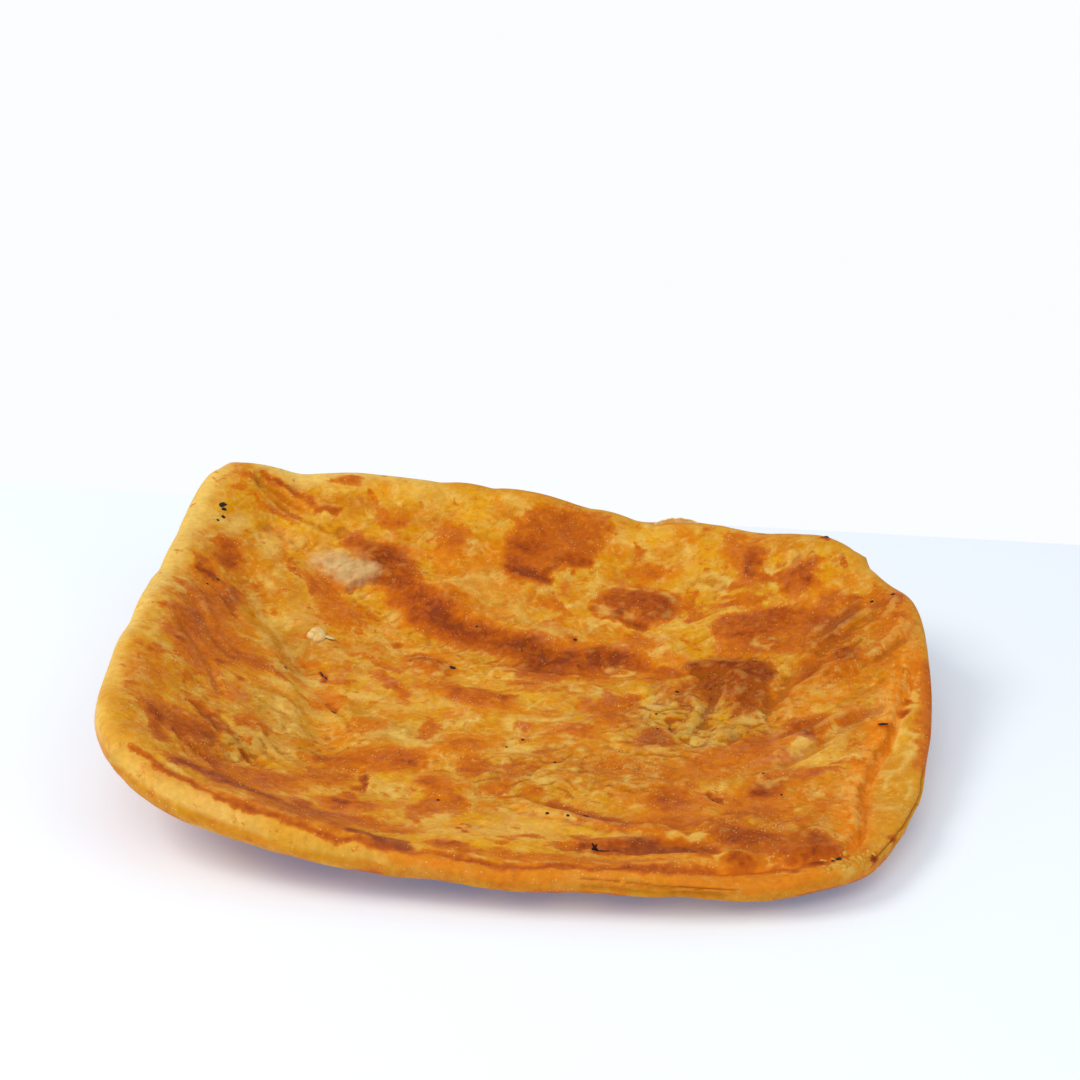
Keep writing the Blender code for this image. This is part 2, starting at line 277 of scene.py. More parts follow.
def planPoint(u, v):
    # square (u, v) to the bread's outline: corners by a superellipse, sides bowed by 1 - u^2
    def shares(u, v):
        left, right, front, back = (1 - u) / 2, (1 + u) / 2, (1 - v) / 2, (1 + v) / 2
        named = {"frontLeft": left * front, "frontRight": right * front, "backRight": right * back}
        return {**named, "backLeft": left * back}.items()

    reach = np.maximum(abs(u), abs(v))
    a, b = u / np.maximum(reach, tiny), v / np.maximum(reach, tiny)
    power = sum(share * breadForm["squareness"][name] for name, share in shares(u, v))
    rounding = np.maximum(abs(a) ** power + abs(b) ** power, 1) ** (-1 / power)
    scale = 1 + (rounding - 1) * smoothStep(breadForm["roundingStart"], 1, reach)
    u, v = u * scale, v * scale
    x, y = (sum(share * breadForm["corners"][name][axis] for name, share in shares(u, v)) for axis in (0, 1))
    bow = breadForm["bow"]
    x += (1 - v**2) * (bow["right"] * np.clip(u, 0, 1) ** 2 - bow["left"] * np.clip(-u, 0, 1) ** 2)
    y += (1 - u**2) * (bow["back"] * np.clip(v, 0, 1) ** 2 - bow["front"] * np.clip(-v, 0, 1) ** 2)
    return x, y


def sheetThickness(u, v):
    middle = breadForm["middleThickness"]
    change = smoothStep(*breadForm["thicknessChange"], np.maximum(abs(u), abs(v)))
    return middle + (aroundRim(breadForm["rimThickness"], u, v) - middle) * change


def undersideHeight(u, v):
    # flat in the middle, then rim height times (share of the wall)^wallCurve, plus bends and waves
    x, y = planPoint(u, v)
    reach = np.maximum(abs(u), abs(v))
    squareness = breadForm["dishSquareness"]
    distance = (abs(u) ** squareness + abs(v) ** squareness) ** (1 / squareness)
    rimDistance = np.maximum(distance / np.maximum(reach, tiny), 1)
    foot = aroundRim(breadForm["wallFoot"], u, v)
    climb = np.clip((distance - foot) / (rimDistance - foot), 0, 1) ** breadForm["wallCurve"]
    height = (aroundRim(breadForm["rimTop"], u, v) - aroundRim(breadForm["rimThickness"], u, v)) * climb
    for bendX, bendY, radius, lift in breadForm["bends"]:
        height = height + lift * dome(np.hypot(x - bendX, y - bendY) / radius)
    waves = breadForm["rimWave"] * waveSum(x, y, 1)
    return height + waves * smoothStep(breadForm["rimWaveStart"], 1, reach) * climb


def alongLine(x, y, points):
    # distance to a bent line, more than 0 on its left; how far along it; its length
    nearest = np.full(x.shape, np.inf)
    side = np.ones(x.shape)
    run = np.zeros(x.shape)
    length = 0.0
    for (startX, startY), (endX, endY) in zip(points, points[1:]):
        stepX, stepY = endX - startX, endY - startY
        piece = np.hypot(stepX, stepY)
        share = np.clip(((x - startX) * stepX + (y - startY) * stepY) / piece**2, 0, 1)
        offX, offY = x - startX - share * stepX, y - startY - share * stepY
        distance = np.hypot(offX, offY)
        closer = distance < nearest
        nearest = np.where(closer, distance, nearest)
        side = np.where(closer, np.sign(stepX * offY - stepY * offX), side)
        run = np.where(closer, length + share * piece, run)
        length += piece
    return nearest * side, run, length


def layerCut(x, y):
    # millimetres beyond the top layer's cut edge, which wanders a little, and how much of the step is there
    distance, run, length = alongLine(x, y, breadForm["layerEdge"])
    wander = doughNoise(np.stack([x, y, 0 * x], -1).reshape(-1, 3) / mm, *crustRelief["edgeWander"])
    fade = smoothStep(0, breadForm["layerFade"], run) * smoothStep(0, breadForm["layerFade"], length - run)
    distance = distance / mm + crustRelief["edgeDrift"] * wander.reshape(x.shape)
    return distance + crustRelief["edgeInset"], fade


def topForm(x, y):
    # the solid's own creases, ridges, blisters and layer step, which here is cut sharper:
    # a rolled lip inside the edge, a steep face and a crevice at its foot
    distance, fade = layerCut(x, y)
    half = crustRelief["edgeRun"] / 2
    step = -crustRelief["edgeShare"] * breadForm["layerStep"] * smoothStep(-half, half, distance)
    roll = crustRelief["edgeRoll"] * dome((distance + 2.0) / 2.4)
    crevice = crustRelief["edgeCrevice"] * dome((distance - 0.9) / 1.1)
    height = fade * (step + (roll - crevice) * mm) + breadForm["topWave"] * waveSum(x, y)
    for depth, halfWidth, points in breadForm["creases"]:
        height -= depth * dome(alongLine(x, y, points)[0] / halfWidth)
    for *ellipse, lift in breadForm["blisters"]:
        height += lift * dome(ellipseShare(x, y, *ellipse))
    return height


def sheetNormal(u, v):
    # cross product of the slopes over a step each way
    step = breadForm["slopeStep"]
    aheadU, behindU = (np.array([*planPoint(u + d, v), undersideHeight(u + d, v)]) for d in (step, -step))
    aheadV, behindV = (np.array([*planPoint(u, v + d), undersideHeight(u, v + d)]) for d in (step, -step))
    normal = np.cross(aheadU - behindU, aheadV - behindV, axis=0)
    return normal / np.linalg.norm(normal, axis=0)


def breadPoints(u, v, face, noseStart):
    # the underside plus its normal times thickness / 2 (1 + face cos^f(turn));
    # the edge turns from noseStart outwards
    reach = np.maximum(abs(u), abs(v))
    turn = np.clip((reach - noseStart) / (1 - noseStart), 0, 1) * np.pi / 2
    width, fullness = breadForm["noseWidth"], breadForm["noseFullness"]
    out = np.minimum(reach / noseStart, 1) * (1 - width) + width * np.sin(turn) ** fullness
    scale = out / np.maximum(reach, tiny)
    u, v = u * scale, v * scale
    x, y = planPoint(u, v)
    lift = np.clip(np.cos(turn), 0, 1) ** fullness
    offset = sheetThickness(u, v) / 2 * (1 + face * lift)
    if face > 0:
        offset = offset + topForm(x, y) * lift
    low = np.array([x - breadMiddle[0], y - breadMiddle[1], undersideHeight(u, v)])
    return low + sheetNormal(u, v) * offset, turn, x, y


def doughNoise(points, size, seed, octaves=1, fall=0.5):
    # gradient noise: drawn slopes at lattice corners, blended by 6t^5 - 15t^4 + 10t^3; octaves halve in size
    draw = np.random.default_rng(seed)
    order = np.tile(draw.permutation(256), 2)
    slopes = draw.normal(size=(256, 3))
    slopes /= np.linalg.norm(slopes, axis=1, keepdims=True)
    total = np.zeros(len(points))
    strength = 1.0
    for octave in range(octaves):
        place = points / size + 31.7 * octave
        corner = np.floor(place).astype(int)
        t = place - corner
        blend = t * t * t * (t * (t * 6 - 15) + 10)
        for step in itertools.product((0, 1), repeat=3):
            cell = (corner + step) & 255
            drawn = slopes[order[order[order[cell[:, 0]] + cell[:, 1]] + cell[:, 2]]]
            weight = np.prod(np.where(step, blend, 1 - blend), axis=1)
            total += 1.6 * strength * weight * np.einsum("ij,ij->i", drawn, t - step)
        size *= 0.5
        strength *= fall
    return total


def bubbleCells(points, size, seed):
    # distance to the nearest drawn centre, one in each cell of a flat lattice, and that centre's drawn number
    draw = np.random.default_rng(seed)
    jitter = draw.uniform(0.1, 0.9, (64, 64, 2))
    chance = draw.uniform(0, 1, (64, 64))
    place = points[:, :2] / size
    corner = np.floor(place).astype(int)
    nearest = np.full(len(points), 9.0)
    number = np.zeros(len(points))
    for step in itertools.product((-1, 0, 1), repeat=2):
        cell = corner + step
        row, column = cell[:, 0] & 63, cell[:, 1] & 63
        distance = np.linalg.norm(cell + jitter[row, column] - place, axis=1)
        number = np.where(distance < nearest, chance[row, column], number)
        nearest = np.minimum(nearest, distance)
    return nearest, number


def turned(points, degrees, stretch):
    # x cos + y sin of the heading, divided by the stretch, and y cos - x sin, so that a pattern runs along it
    c, s = np.cos(np.radians(degrees)), np.sin(np.radians(degrees))
    x, y, z = points.T
    return np.stack([(x * c + y * s) / stretch, y * c - x * s, z], 1)


print("form and noise ready")


# marks in millimetres from the outline's origin
# spots: x, y, half length, half width, strength, turn in degrees unless 0
# lines: half width, strength, points
# patches: softness of the edge, strength, outline
crustMarks = {
    "toast": {"patches": [
        (3.6, 0.47, [(-8.3, 74.5), (-12.5, 69), (-14.7, 64.4), (-14.9, 58), (-12.5, 53), (-8, 51),
            (-4, 50.9), (-3, 54.5), (0.3, 59), (7.4, 60.1), (11.4, 66.6), (11.6, 72), (8, 75.5), (0, 76.5)]),
        (2.4, 0.6, [(9.9, 43.7), (12.5, 48), (17, 51.5), (21.7, 53), (27, 51), (31, 47.5), (32.8, 43.7),
            (30, 39.5), (25, 37.3), (20, 38.5), (15, 41)]),
        (3.4, 0.64, [(-58, 62), (-50, 59.5), (-42, 58.5), (-39.5, 53), (-35, 46.5), (-27, 43), (-21, 36),
            (-13, 33), (-4, 31.5), (3, 28.8), (10, 28.3), (19, 27.5), (25, 24.5), (19, 22), (10, 19.5),
            (1, 15), (-4, 21.6), (-12, 27.3), (-19.7, 28), (-25.4, 29.4), (-32.6, 33.7), (-37, 36),
            (-42, 43), (-47, 48), (-53, 55), (-58, 59.5)]),
        (3.4, 0.22, [(-90.5, 48), (-87, 49), (-82, 44), (-82, 38), (-85, 34), (-82, 30), (-77, 26),
            (-76, 18), (-75, 10), (-68, 6), (-64, 0), (-66, -8), (-72, -12), (-80, -14), (-88, -12),
            (-89, 0), (-88, 10), (-90, 20), (-91, 30), (-88.5, 36), (-89.5, 42)]),
        (2.8, 0.56, [(42.4, 36), (45, 41), (52, 42.5), (58, 41), (64, 41.5), (71, 39), (72, 34), (66, 31.5),
            (59, 32), (57, 29), (48, 29.4), (44, 32)]),
        (2.2, 0.6, [(37, 21.5), (44, 23), (52, 21.5), (57.5, 19.5), (58, 12), (57, 2), (54, -3), (50, -2),
            (49, 6), (46, 5), (42, 6), (41, 13), (38, 17)]),
        (1.8, 0.68, [(20, -64.5), (30, -62.5), (38, -61.5), (48, -62), (50, -66), (48, -70), (38, -70.5),
            (29, -70.3), (22, -70)]),
        (3, 0.24, [(41.7, 69), (47, 70.5), (53, 69), (54, 61), (53, 51.5), (49, 51), (46, 57), (42, 60)]),
        (2.6, 0.42, [(59, 52), (63, 55), (68, 52), (68, 46), (63, 44.5), (59.5, 47)]),
        (2.8, 0.44, [(-80, -44), (-74, -40), (-66, -40), (-63, -46), (-66, -50), (-75, -51), (-80, -50)]),
        (3.4, 0.14, [(-91, -20), (-85, -16), (-81, -22), (-78, -34), (-78, -46), (-84, -47), (-87, -38)]),
        (2.4, 0.52, [(47, -57), (55, -55), (62, -57), (73, -57.5), (75, -62), (78, -66), (66, -67),
            (58, -66), (50, -63)]),
    ], "spots": [
        (24, 30, 7, 5, 0.2), (38, -54, 9, 5, 0.25), (24, -2, 5, 9, 0.2), (38, -64, 8, 4, 0.2),
        (-60, -30, 5, 4, 0.25), (-18, -68, 8, 5, 0.15), (60, -30, 6, 5, 0.2), (72, -42, 5, 5, 0.2),
        (72, 40, 4, 4, 0.2), (36, -76, 8, 3, 0.2), (42, -30, 10, 6, 0.24), (60, 5, 6, 6, 0.24),
        (30, -56, 9, 4, 0.24, -12), (72, 42, 4, 3, 0.25), (-54, 34, 10, 7, 0.26), (-60, 46, 7, 7, 0.22),
        (-48, -6, 6, 5, 0.2), (42, -54, 9, 5, 0.2), (-24, 6, 6, 4, 0.2), (-30, -66, 8, 4, 0.16),
        (-24, 42, 6, 4, 0.15, -30), (-36, -18, 6, 5, 0.2), (60, -18, 5, 5, 0.2), (84, 18, 5, 5, 0.2),
        (24, -66, 8, 4, 0.15), (52, 26.5, 8, 4, 0.4), (64, 27, 8, 4.5, 0.36), (73, 29, 6, 5, 0.3),
        (12, 19, 17, 6, 0.24), (2, 9, 9, 4, 0.18), (34, -66.5, 14, 3.6, 0.42, 3), (-30, -69, 16, 3.6, 0.3),
        (60, -50, 12, 5, 0.22), (36, 8, 6, 7, 0.22), (-58, -58, 14, 7, 0.3, -25), (-62, -66, 9, 3, 0.35),
        (-30, -34, 12, 6, 0.28, -10), (-12, -48, 5, 10, 0.3, 20), (56, -44, 9, 7, 0.26),
        (38, -42, 10, 7, 0.28, -20), (24, -30, 9, 6, 0.22), (72, 16, 9, 9, 0.3, 40),
        (66, -30, 8, 5, 0.22, 40), (50, -22, 10, 6, 0.26), (86, 30, 6, 10, 0.26, 20), (12, -14, 9, 5, 0.22),
        (-48, -56, 9, 6, 0.26), (-36, -76, 14, 4, 0.3), (16, -76, 16, 3, 0.3), (-70, -20, 7, 6, 0.2),
        (-86.5, 44.5, 3.5, 2.8, 0.5), (-84.5, 40.2, 3.8, 3, 0.7, 90), (-90, 33, 1.5, 1.4, 0.6),
        (-81.5, 17, 10.5, 4.2, 0.22, 95), (-80, 24, 4.5, 2.2, 0.5, 100), (-80, 3, 7.5, 5, 0.2),
        (-84, -4.2, 8.2, 3.6, 0.25, 90), (-75, -3, 7, 5.4, 0.15, 90), (-78, -14, 6, 5, 0.25, 90),
        (-83.3, -10.6, 1.1, 1, 0.8), (-73.3, -10.3, 1, 1, 0.75), (-71.1, -4.9, 1, 0.9, 0.7),
        (-67.7, -12.8, 1.1, 1, 0.75), (-9.5, 60.5, 4.4, 5.6, 0.36), (-9, 54.5, 4.5, 2.2, 0.5, -25),
        (-45.5, 67, 3.5, 3, 0.4), (-29.5, 62.5, 6.5, 4.5, 0.38, -45), (-61, 78.3, 4, 2, 0.45),
        (23.5, 57, 6.5, 3, 0.3), (50.7, 56.6, 5, 1.8, 0.6, 90), (64.6, 49.4, 2.1, 1.9, 0.75),
        (60, 52.5, 10, 1.5, 0.42), (69.6, 61.5, 1.5, 1.4, 0.8), (-45, 54, 4.2, 3.6, 0.4),
        (-31, 38.5, 8.5, 4.6, 0.45, -40), (-29.5, 39, 4, 2.6, 0.6, -45), (8, 25, 9.5, 3, 0.3),
        (8, 18, 9, 4, 0.15), (-37.5, 25.5, 2, 1.5, 0.5), (7.1, 30.9, 1.3, 1.3, 0.8), (-2, 20, 5, 4, 0.4, -40),
        (-27, 17, 8, 5, 0.42, -45), (-30, 20, 3.6, 2.5, 0.62, -45), (-13, 0.8, 10.5, 5.4, 0.42, -15),
        (-17.6, 2.3, 2.6, 2, 0.62), (-6, 1.6, 2.6, 2, 0.55), (14.8, 0.2, 4.8, 4.2, 0.22),
        (20.7, -4, 6, 4, 0.32, 90), (32, -15.5, 5.5, 4.7, 0.45, 90), (29.2, 15.2, 4.2, 2.5, 0.45, 90),
        (-11, -25.5, 5, 4.5, 0.36), (-8, -34.3, 4.7, 4, 0.45, 90), (-23.5, -32, 5.5, 4, 0.35),
        (-21.5, -34.2, 1.2, 1.1, 0.75), (-17.2, -41.8, 2.8, 2.5, 0.45, 90), (26, 44, 6.5, 4.6, 0.5, -10),
        (48, 36, 5, 4, 0.15), (51.7, 31, 5.2, 2, 0.8), (59, 39.4, 3, 2, 0.6), (74.5, 34.8, 6, 2.5, 0.8, 40),
        (77.1, 40.1, 2.5, 1.5, 0.6), (71.3, 28.5, 3.5, 3.3, 0.45, 90), (87.7, 38, 4, 1.3, 0.45, 90),
        (75.4, 19, 4.7, 3.7, 0.5, 90), (74.6, 20.9, 2, 1.6, 0.8), (67, 15, 5.5, 2.5, 0.6, 60),
        (53.5, 15.8, 4, 3.5, 0.82), (43.9, 13.5, 6.5, 2.2, 0.8, 90), (90.6, 3, 2, 0.9, 1, 60),
        (89.6, -2.4, 2, 0.9, 1, 50), (55, -15, 5, 5, 0.42), (66, -9, 7, 4.5, 0.6, 50),
        (67.4, -13.1, 2.3, 1.6, 0.85), (84.6, -9.2, 1.3, 1.2, 0.9), (59, -36, 5.7, 4, 0.5, 90),
        (58, -39, 2.6, 1.8, 0.8), (37.4, -44.6, 4.4, 4.4, 0.42), (-77.5, -47.3, 2.8, 2.2, 0.55),
        (-69, -44.5, 5, 4.5, 0.35), (-68.5, -36, 7, 2.8, 0.85, -45), (-56.8, -64.3, 4.2, 2.6, 0.45),
        (-40.3, -64.2, 2.8, 2.5, 0.55), (-31, -60.2, 7, 2.8, 0.55), (-32.6, -59, 2.6, 1.3, 0.8),
        (-5.5, -75.5, 4.7, 2.8, 0.62), (-15.5, -56.3, 5.3, 3.5, 0.38, 90), (-5.5, -62.3, 0.9, 0.8, 0.8),
        (-4, -62.7, 0.8, 0.7, 0.75), (-6, -65.5, 0.9, 0.7, 0.8), (-4, -66.5, 0.8, 0.7, 0.75),
        (-41, -35, 7, 3.5, 0.42), (-39.3, -46, 7, 6.7, 0.36, 90), (-32, -50.5, 1.8, 1.5, 0.6),
        (-32.2, -55.2, 2.2, 1.8, 0.45, 90), (-38.5, -71.3, 9.5, 5.5, 0.3), (54.3, -58.9, 5.3, 2.9, 0.55),
        (70.5, -60.2, 2.6, 2.2, 0.62), (40, -66, 9, 3.2, 0.5, 3), (37.3, -66, 6.5, 3.6, 0.8, 3),
        (36.7, -78.2, 5, 1.4, 0.6, 3), (54.8, -69, 3.2, 1.8, 0.85, 10), (71, -65.2, 9.5, 1.4, 0.4, 8),
        (86.4, -53.1, 1.5, 1.2, 0.8), (82.8, -61.4, 1.5, 1.2, 0.8),
    ], "lines": [
        (0.9, 0.8, [(-90, 31), (-84.7, 28.4)]), (1.5, 0.9, [(-13, 56), (-4, 52)]),
        (1.2, 0.72, [(-4, 51.5), (-2.5, 55), (0.5, 59.5), (7, 60)]),
        (0.7, 0.55, [(-84, 74.8), (-76.9, 73.7), (-74, 72.3), (-70.4, 70.1), (-67.6, 67.6), (-62.6, 66.9)]),
        # painted shadow: the line from (-54, 45.1) to (-44, 46.9) darkens the furrow under the flour flake's
        # raised edge
        (0.9, 0.8, [(-54, 45.1), (-50.4, 47.3), (-44, 46.9)]),
        (1.6, 0.4, [(-57.6, 60.9), (-52.6, 58), (-46, 54), (-41, 48), (-35.4, 44)]),
        (2, 0.5, [(-26, 35), (-21.9, 31.8), (-14.7, 30), (-4, 27.6)]),
        (1.8, 0.6, [(-4, 27.3), (1.7, 25.4), (8.9, 24.6), (18.9, 25.1)]),
        (1.6, 0.48, [(19, 24.5), (27, 22), (35, 18)]), (0.6, 0.8, [(-53.6, 9.1), (-51.1, 4.4)]),
        (1.6, 0.32, [(-39.7, 10.9), (-30.4, 0.9)]), (0.7, 0.75, [(15.5, 40.6), (20.3, 38), (25.5, 37.1)]),
        (0.6, 0.8, [(17.4, 40.9), (20.6, 42.3)]),
        (0.9, 0.92, [(37.4, 20.5), (41.7, 21.6), (50.3, 20.1), (53.1, 19.4)]),
        (1.4, 0.5, [(-77.6, -50), (-72.6, -59.6)]), (1.4, 0.5, [(-72, -50), (-65, -55), (-58, -62)]),
        (1.4, 0.7, [(-66, -67.5), (-60, -66), (-52, -67.5), (-45, -68.5)]),
        (0.8, 0.58, [(-75.4, -69.6), (-70.4, -71), (-58.3, -75.3), (-50.4, -77.8), (-32.6, -80.3),
            (0, -80.6)]),
        (0.9, 0.6, [(0, -80.6), (14, -80.2), (40.3, -77), (49.6, -74.2), (55.3, -71.5), (73, -68)]),
        (0.9, 0.9, [(-26.1, -76.7), (-21.1, -78.5), (-14.7, -79.2)]),
        (0.5, 0.8, [(-48.5, -6), (-45.5, -9.5)]), (1, 0.8, [(-58.5, -44.8), (-55.5, -46.8), (-52, -50)]),
        (0.8, 0.85, [(-31.9, -41.7), (-30.2, -46), (-29.7, -50.3)]),
        (1.2, 0.45, [(74.6, -7.4), (80.3, -3.9)]),
        # painted shadow: the faint line along the top layer's cut edge, from (86.7, -8.1) to (77.4, -64.6)
        (0.8, 0.2, [(86.7, -8.1), (83.5, -21), (81, -31.7), (80.3, -41.7), (80.3, -56.7), (77.4, -64.6)]),
        # painted shade: the dark line in the open mouth of the crack from (46.4, -39.6) to (49.2, -43.1)
        (0.6, 0.9, [(46.4, -39.6), (47.4, -41.7), (49.2, -43.1)]),
        # painted shadow: the line from (13.1, -47.4) to (30.3, -55) darkens the furrow above the ridge there
        (3, 0.36, [(95.5, 14), (97, 0), (95, -22)]), (1.5, 0.58, [(13.1, -47.4), (20.3, -51.7), (30.3, -55)]),
        (0.6, 0.8, [(68, -67.4), (72.4, -67.4)]), (0.5, 0.75, [(25.3, -70.3), (29.6, -70.3)]),
    ]},
    "orange": {"spots": [
        (-90, 70, 6, 2.6, 0.9, 90), (-75, 68.7, 5.5, 3, 0.95, -20), (-61, 78.3, 4.5, 2.2, 0.6),
        (76.5, 46.5, 5.5, 4.5, 0.8), (92, 19, 10, 4, 0.85, 95), (24, 31, 6, 4, 0.5),
        (-41.3, -28.5, 9.5, 8.7, 0.6, 90), (-23.5, -32, 6, 4.5, 0.6), (9.9, -16, 7, 3.6, 0.6),
        (74.3, -36, 11, 5.3, 0.6, 90), (47, 64, 8, 6, 0.3), (6, -2.3, 7.3, 6.2, 0.3, 90),
        (55, -15, 7, 6, 0.5), (-11, -28, 7, 8, 0.5), (-29, 61, 8, 6, 0.4, -45), (2, 66, 14, 9, 0.5, 20),
        (69, -64, 12, 4, 0.6), (-83, 10, 8, 20, 0.5), (90, 40, 5, 12, 0.5), (-60, 55, 14, 6, 0.25),
        (-52, 76, 8, 3, 0.5), (20, -25, 8, 6, 0.3), (34, -46, 9, 6, 0.4),
    ], "lines": [
        (2.6, 0.9, [(86.7, 2.6), (85.3, -10.3), (81.7, -19.6), (80.3, -29.6), (79.6, -41.7), (79.2, -56.7)]),
        (4, 0.95, [(46, -79), (58, -75), (70, -70)]),
        (3, 0.95, [(32, -75), (46, -73.5), (58, -70.8), (73, -67.5)]),
        (5, 0.95, [(-12, -85), (20, -85), (45, -81.5), (66, -74)]), (2, 0.5, [(-60, -79), (-46, -82.5)]),
    ]},
    # yellow tone; its spots on the back right rim, from (46, 68) to (84, 54), and on the left rim's outer
    # side at (-95, 18) and (-96, -18), are partly painted light on rim parts that the lamps leave in shade
    "yellow": {"spots": [
        (44, -6, 5, 4, 0.5), (33, -4, 4, 3, 0.5), (40, 2, 4, 4, 0.4), (48, -14, 4, 3, 0.4),
        (-12, 68, 4, 5, 0.5), (0, 4, 7, 6, 0.6), (48, 66, 7, 5, 0.6), (72, 64, 6, 3, 0.5, -30),
        (84, 54, 4, 4, 0.5), (-58, 76, 8, 3, 0.5), (-86, 20, 4, 22, 0.35), (-72, -8, 5, 10, 0.4),
        (-38, -28, 7, 5, 0.3), (12, 20, 5, 4, 0.4), (-60, -54, 6, 5, 0.4), (36, 42, 4, 6, 0.4),
        (48, 42, 5, 6, 0.4), (46, 68, 6, 4, 0.5), (0, 6, 7, 5, 0.5), (-36, 12, 7, 9, 0.4),
        (-60, -6, 7, 5, 0.5), (-70, -17, 6, 5, 0.4), (-84, 12, 4, 20, 0.25), (-84, -20, 5, 8, 0.3),
        (-60, 66, 6, 4, 0.3), (-95, 18, 3, 9, 0.5), (-96, -18, 3, 9, 0.6), (6, 78, 10, 3, 0.5),
        (-12, 66, 5, 5, 0.5), (72, 55, 6, 5, 0.45), (0, 14, 8, 7, 0.4), (-60, -56, 7, 5, 0.4),
        (-36, -78, 7, 3, 0.4), (17, -58, 11, 3.4, 0.8, -14), (33, -60.6, 9, 2.2, 0.8, -12),
        (-4, -72, 11, 6, 0.5), (12, -70, 8, 6, 0.45), (-16, 14, 12, 4, 0.4, -20), (-64, 62, 10, 6, 0.35),
        (36, 60, 5, 7, 0.5), (-14, 78, 12, 4, 0.4), (70, -22, 6, 9, 0.5, 20), (88, -12, 2.4, 6, 0.8),
        (90, 4, 3, 5, 0.5), (-25, 71, 5.5, 5, 0.9), (23, 69, 7, 5, 0.9), (55.5, 57.5, 3.5, 1.5, 0.7),
        (25.6, 5.7, 4, 3.7, 0.6), (3.5, -65.5, 12.5, 13.5, 0.6), (-26.8, -41, 3.6, 2.2, 0.7, 90),
        (47, -3, 3.5, 2, 0.8, 90), (44.2, -37.3, 2.7, 1.8, 0.8, 90), (-45, 76, 8, 4, 0.5),
        (70, -20, 9, 8, 0.3), (36, -4, 10, 7, 0.4), (20, -14, 7, 5, 0.3), (-62, 46, 12, 8, 0.15),
        (-20, 8, 10, 5, 0.35, -10), (-50, -14, 9, 8, 0.3), (16, 70, 12, 6, 0.3), (2, 40, 14, 6, 0.35, 10),
    ], "lines": [
        # painted highlight, in part: the line along the back rim
        (1.5, 0.6, [(38, 77), (52, 74), (62, 71)]),
    ]},
    # pale, untoasted dough; its spots along the back rim, from (-75, 79) to (-40, 78) and from (48, 67) to
    # (84, 53), are partly painted light: a painted highlight at the back left, and lightening where the back
    # right rim is in shade
    "pale": {"spots": [
        (-87, 54, 5, 2.6, 0.7, 70), (-74, 37, 4, 1.6, 0.5, -40), (-57.2, 21.9, 3.2, 1.6, 0.9, 90),
        (51.7, 18, 2.2, 0.8, 0.7), (93.5, 9.5, 3.5, 2.5, 0.6, 90), (-59, -48.7, 3.6, 1.4, 0.8),
        (76, -68.2, 4.3, 2.2, 0.5), (70, -18, 8, 8, 0.25), (66, 68, 4, 2, 0.5, -30),
        (76, 61, 5, 2.5, 0.5, -40), (-75, 79, 16, 4, 0.85, 3), (-40, 78, 9, 3, 0.35),
        (-12, 44, 8, 5, 0.15, -20), (-20, 50, 7, 4, 0.2, 20), (2, 12, 9, 4, 0.3), (-60, 78, 6, 3, 0.45),
        (48, 67, 6, 5, 0.45), (84, 53, 5, 4, 0.35), (-96, 0, 3, 28, 0.6), (-90, -38, 3, 10, 0.4, 15),
        (-30, -5, 9, 5, 0.3), (8, -62, 9, 6, 0.35), (-14, -66, 7, 6, 0.3), (-62, 30, 6, 8, 0.25),
        (-58, -37, 7, 7.3, 0.35), (44, -28.5, 5, 4.5, 0.3),
    ], "lines": [
        (3, 0.35, [(-52, -83), (-38, -84.5), (-20, -85)]), (0.8, 0.55, [(-25, 27.9), (-20, 26.9), (-12, 26)]),
        (0.9, 0.6, [(10.3, 40.1), (17.4, 38.3), (24.6, 35.8), (28.9, 31.6)]),
        (0.9, 0.7, [(-27.6, -23), (-19.7, -26.7)]), (0.9, 0.5, [(-4, -8), (-2.5, -14), (2, -18), (10, -12)]),
        (0.8, 0.5, [(17, 23.6), (24.6, 23.6)]), (0.9, 0.5, [(8, -51.7), (19.6, -53.9), (28.1, -56.9)]),
        (1.8, 0.5, [(28.1, -56.9), (36, -60.6), (47, -61.5)]),
        # partly painted light: the wide pale rim lines below are untoasted dough, spread and made paler where
        # the rounded edge turns into shade, with a painted highlight along the back rim
        (4.2, 0.9, [(-96, -40), (-97.5, -12), (-98.5, 5), (-98.5, 30), (-98.5, 62), (-97, 72)]),
        (3, 0.6, [(-95, -40), (-91, -58)]), (2.6, 0.75, [(-86, 79.5), (-62, 82.5), (-38, 83.5)]),
        (1.8, 0.7, [(36, 77), (50, 74), (62, 70.5), (72, 64)]), (1.4, 0.6, [(6, 80), (18, 79.4)]),
        (0.9, 0.4, [(-76, 31), (-70, 22), (-62, 12), (-57, 4)]),
        (1.6, 0.35, [(62, 2), (72, 9), (84, 20), (92, 27)]), (1.3, 0.4, [(60, -21), (70, -12), (80, -5)]),
        (0.8, 0.5, [(83, -28), (88, -24), (91, -18)]), (0.7, 0.4, [(82, -44), (87, -41)]),
        (1, 0.5, [(88, -8), (92, 2), (93, 12)]),
        (6, 0.75, [(-92.5, -58), (-89, -70), (-74, -80), (-52, -84.5)]),
    ]},
    "olive": {"spots": [
        (14, 10, 18, 9, 0.35), (44, -30, 14, 11, 0.3), (29, -53, 13, 6, 0.55, -12), (-36, -69, 17, 5, 0.5),
        (36, -8, 15, 12, 0.2), (-62, 18, 10, 9, 0.6, -45), (-29, -20.3, 9, 5.7, 0.7),
        (-62, -21, 12, 11, 0.55), (-58, -37.3, 7, 7.3, 0.5), (40.3, 52.7, 4.3, 1.8, 0.8),
        (-1.8, 8.3, 4.6, 2.2, 0.5, 90), (42.5, -2.4, 4.4, 2.2, 0.6, 90), (44, -28.5, 5, 4.5, 0.6),
        (-21.5, -71.3, 6.7, 6.5, 0.5), (-40, -70, 9, 6, 0.3), (0, -45, 12, 9, 0.25),
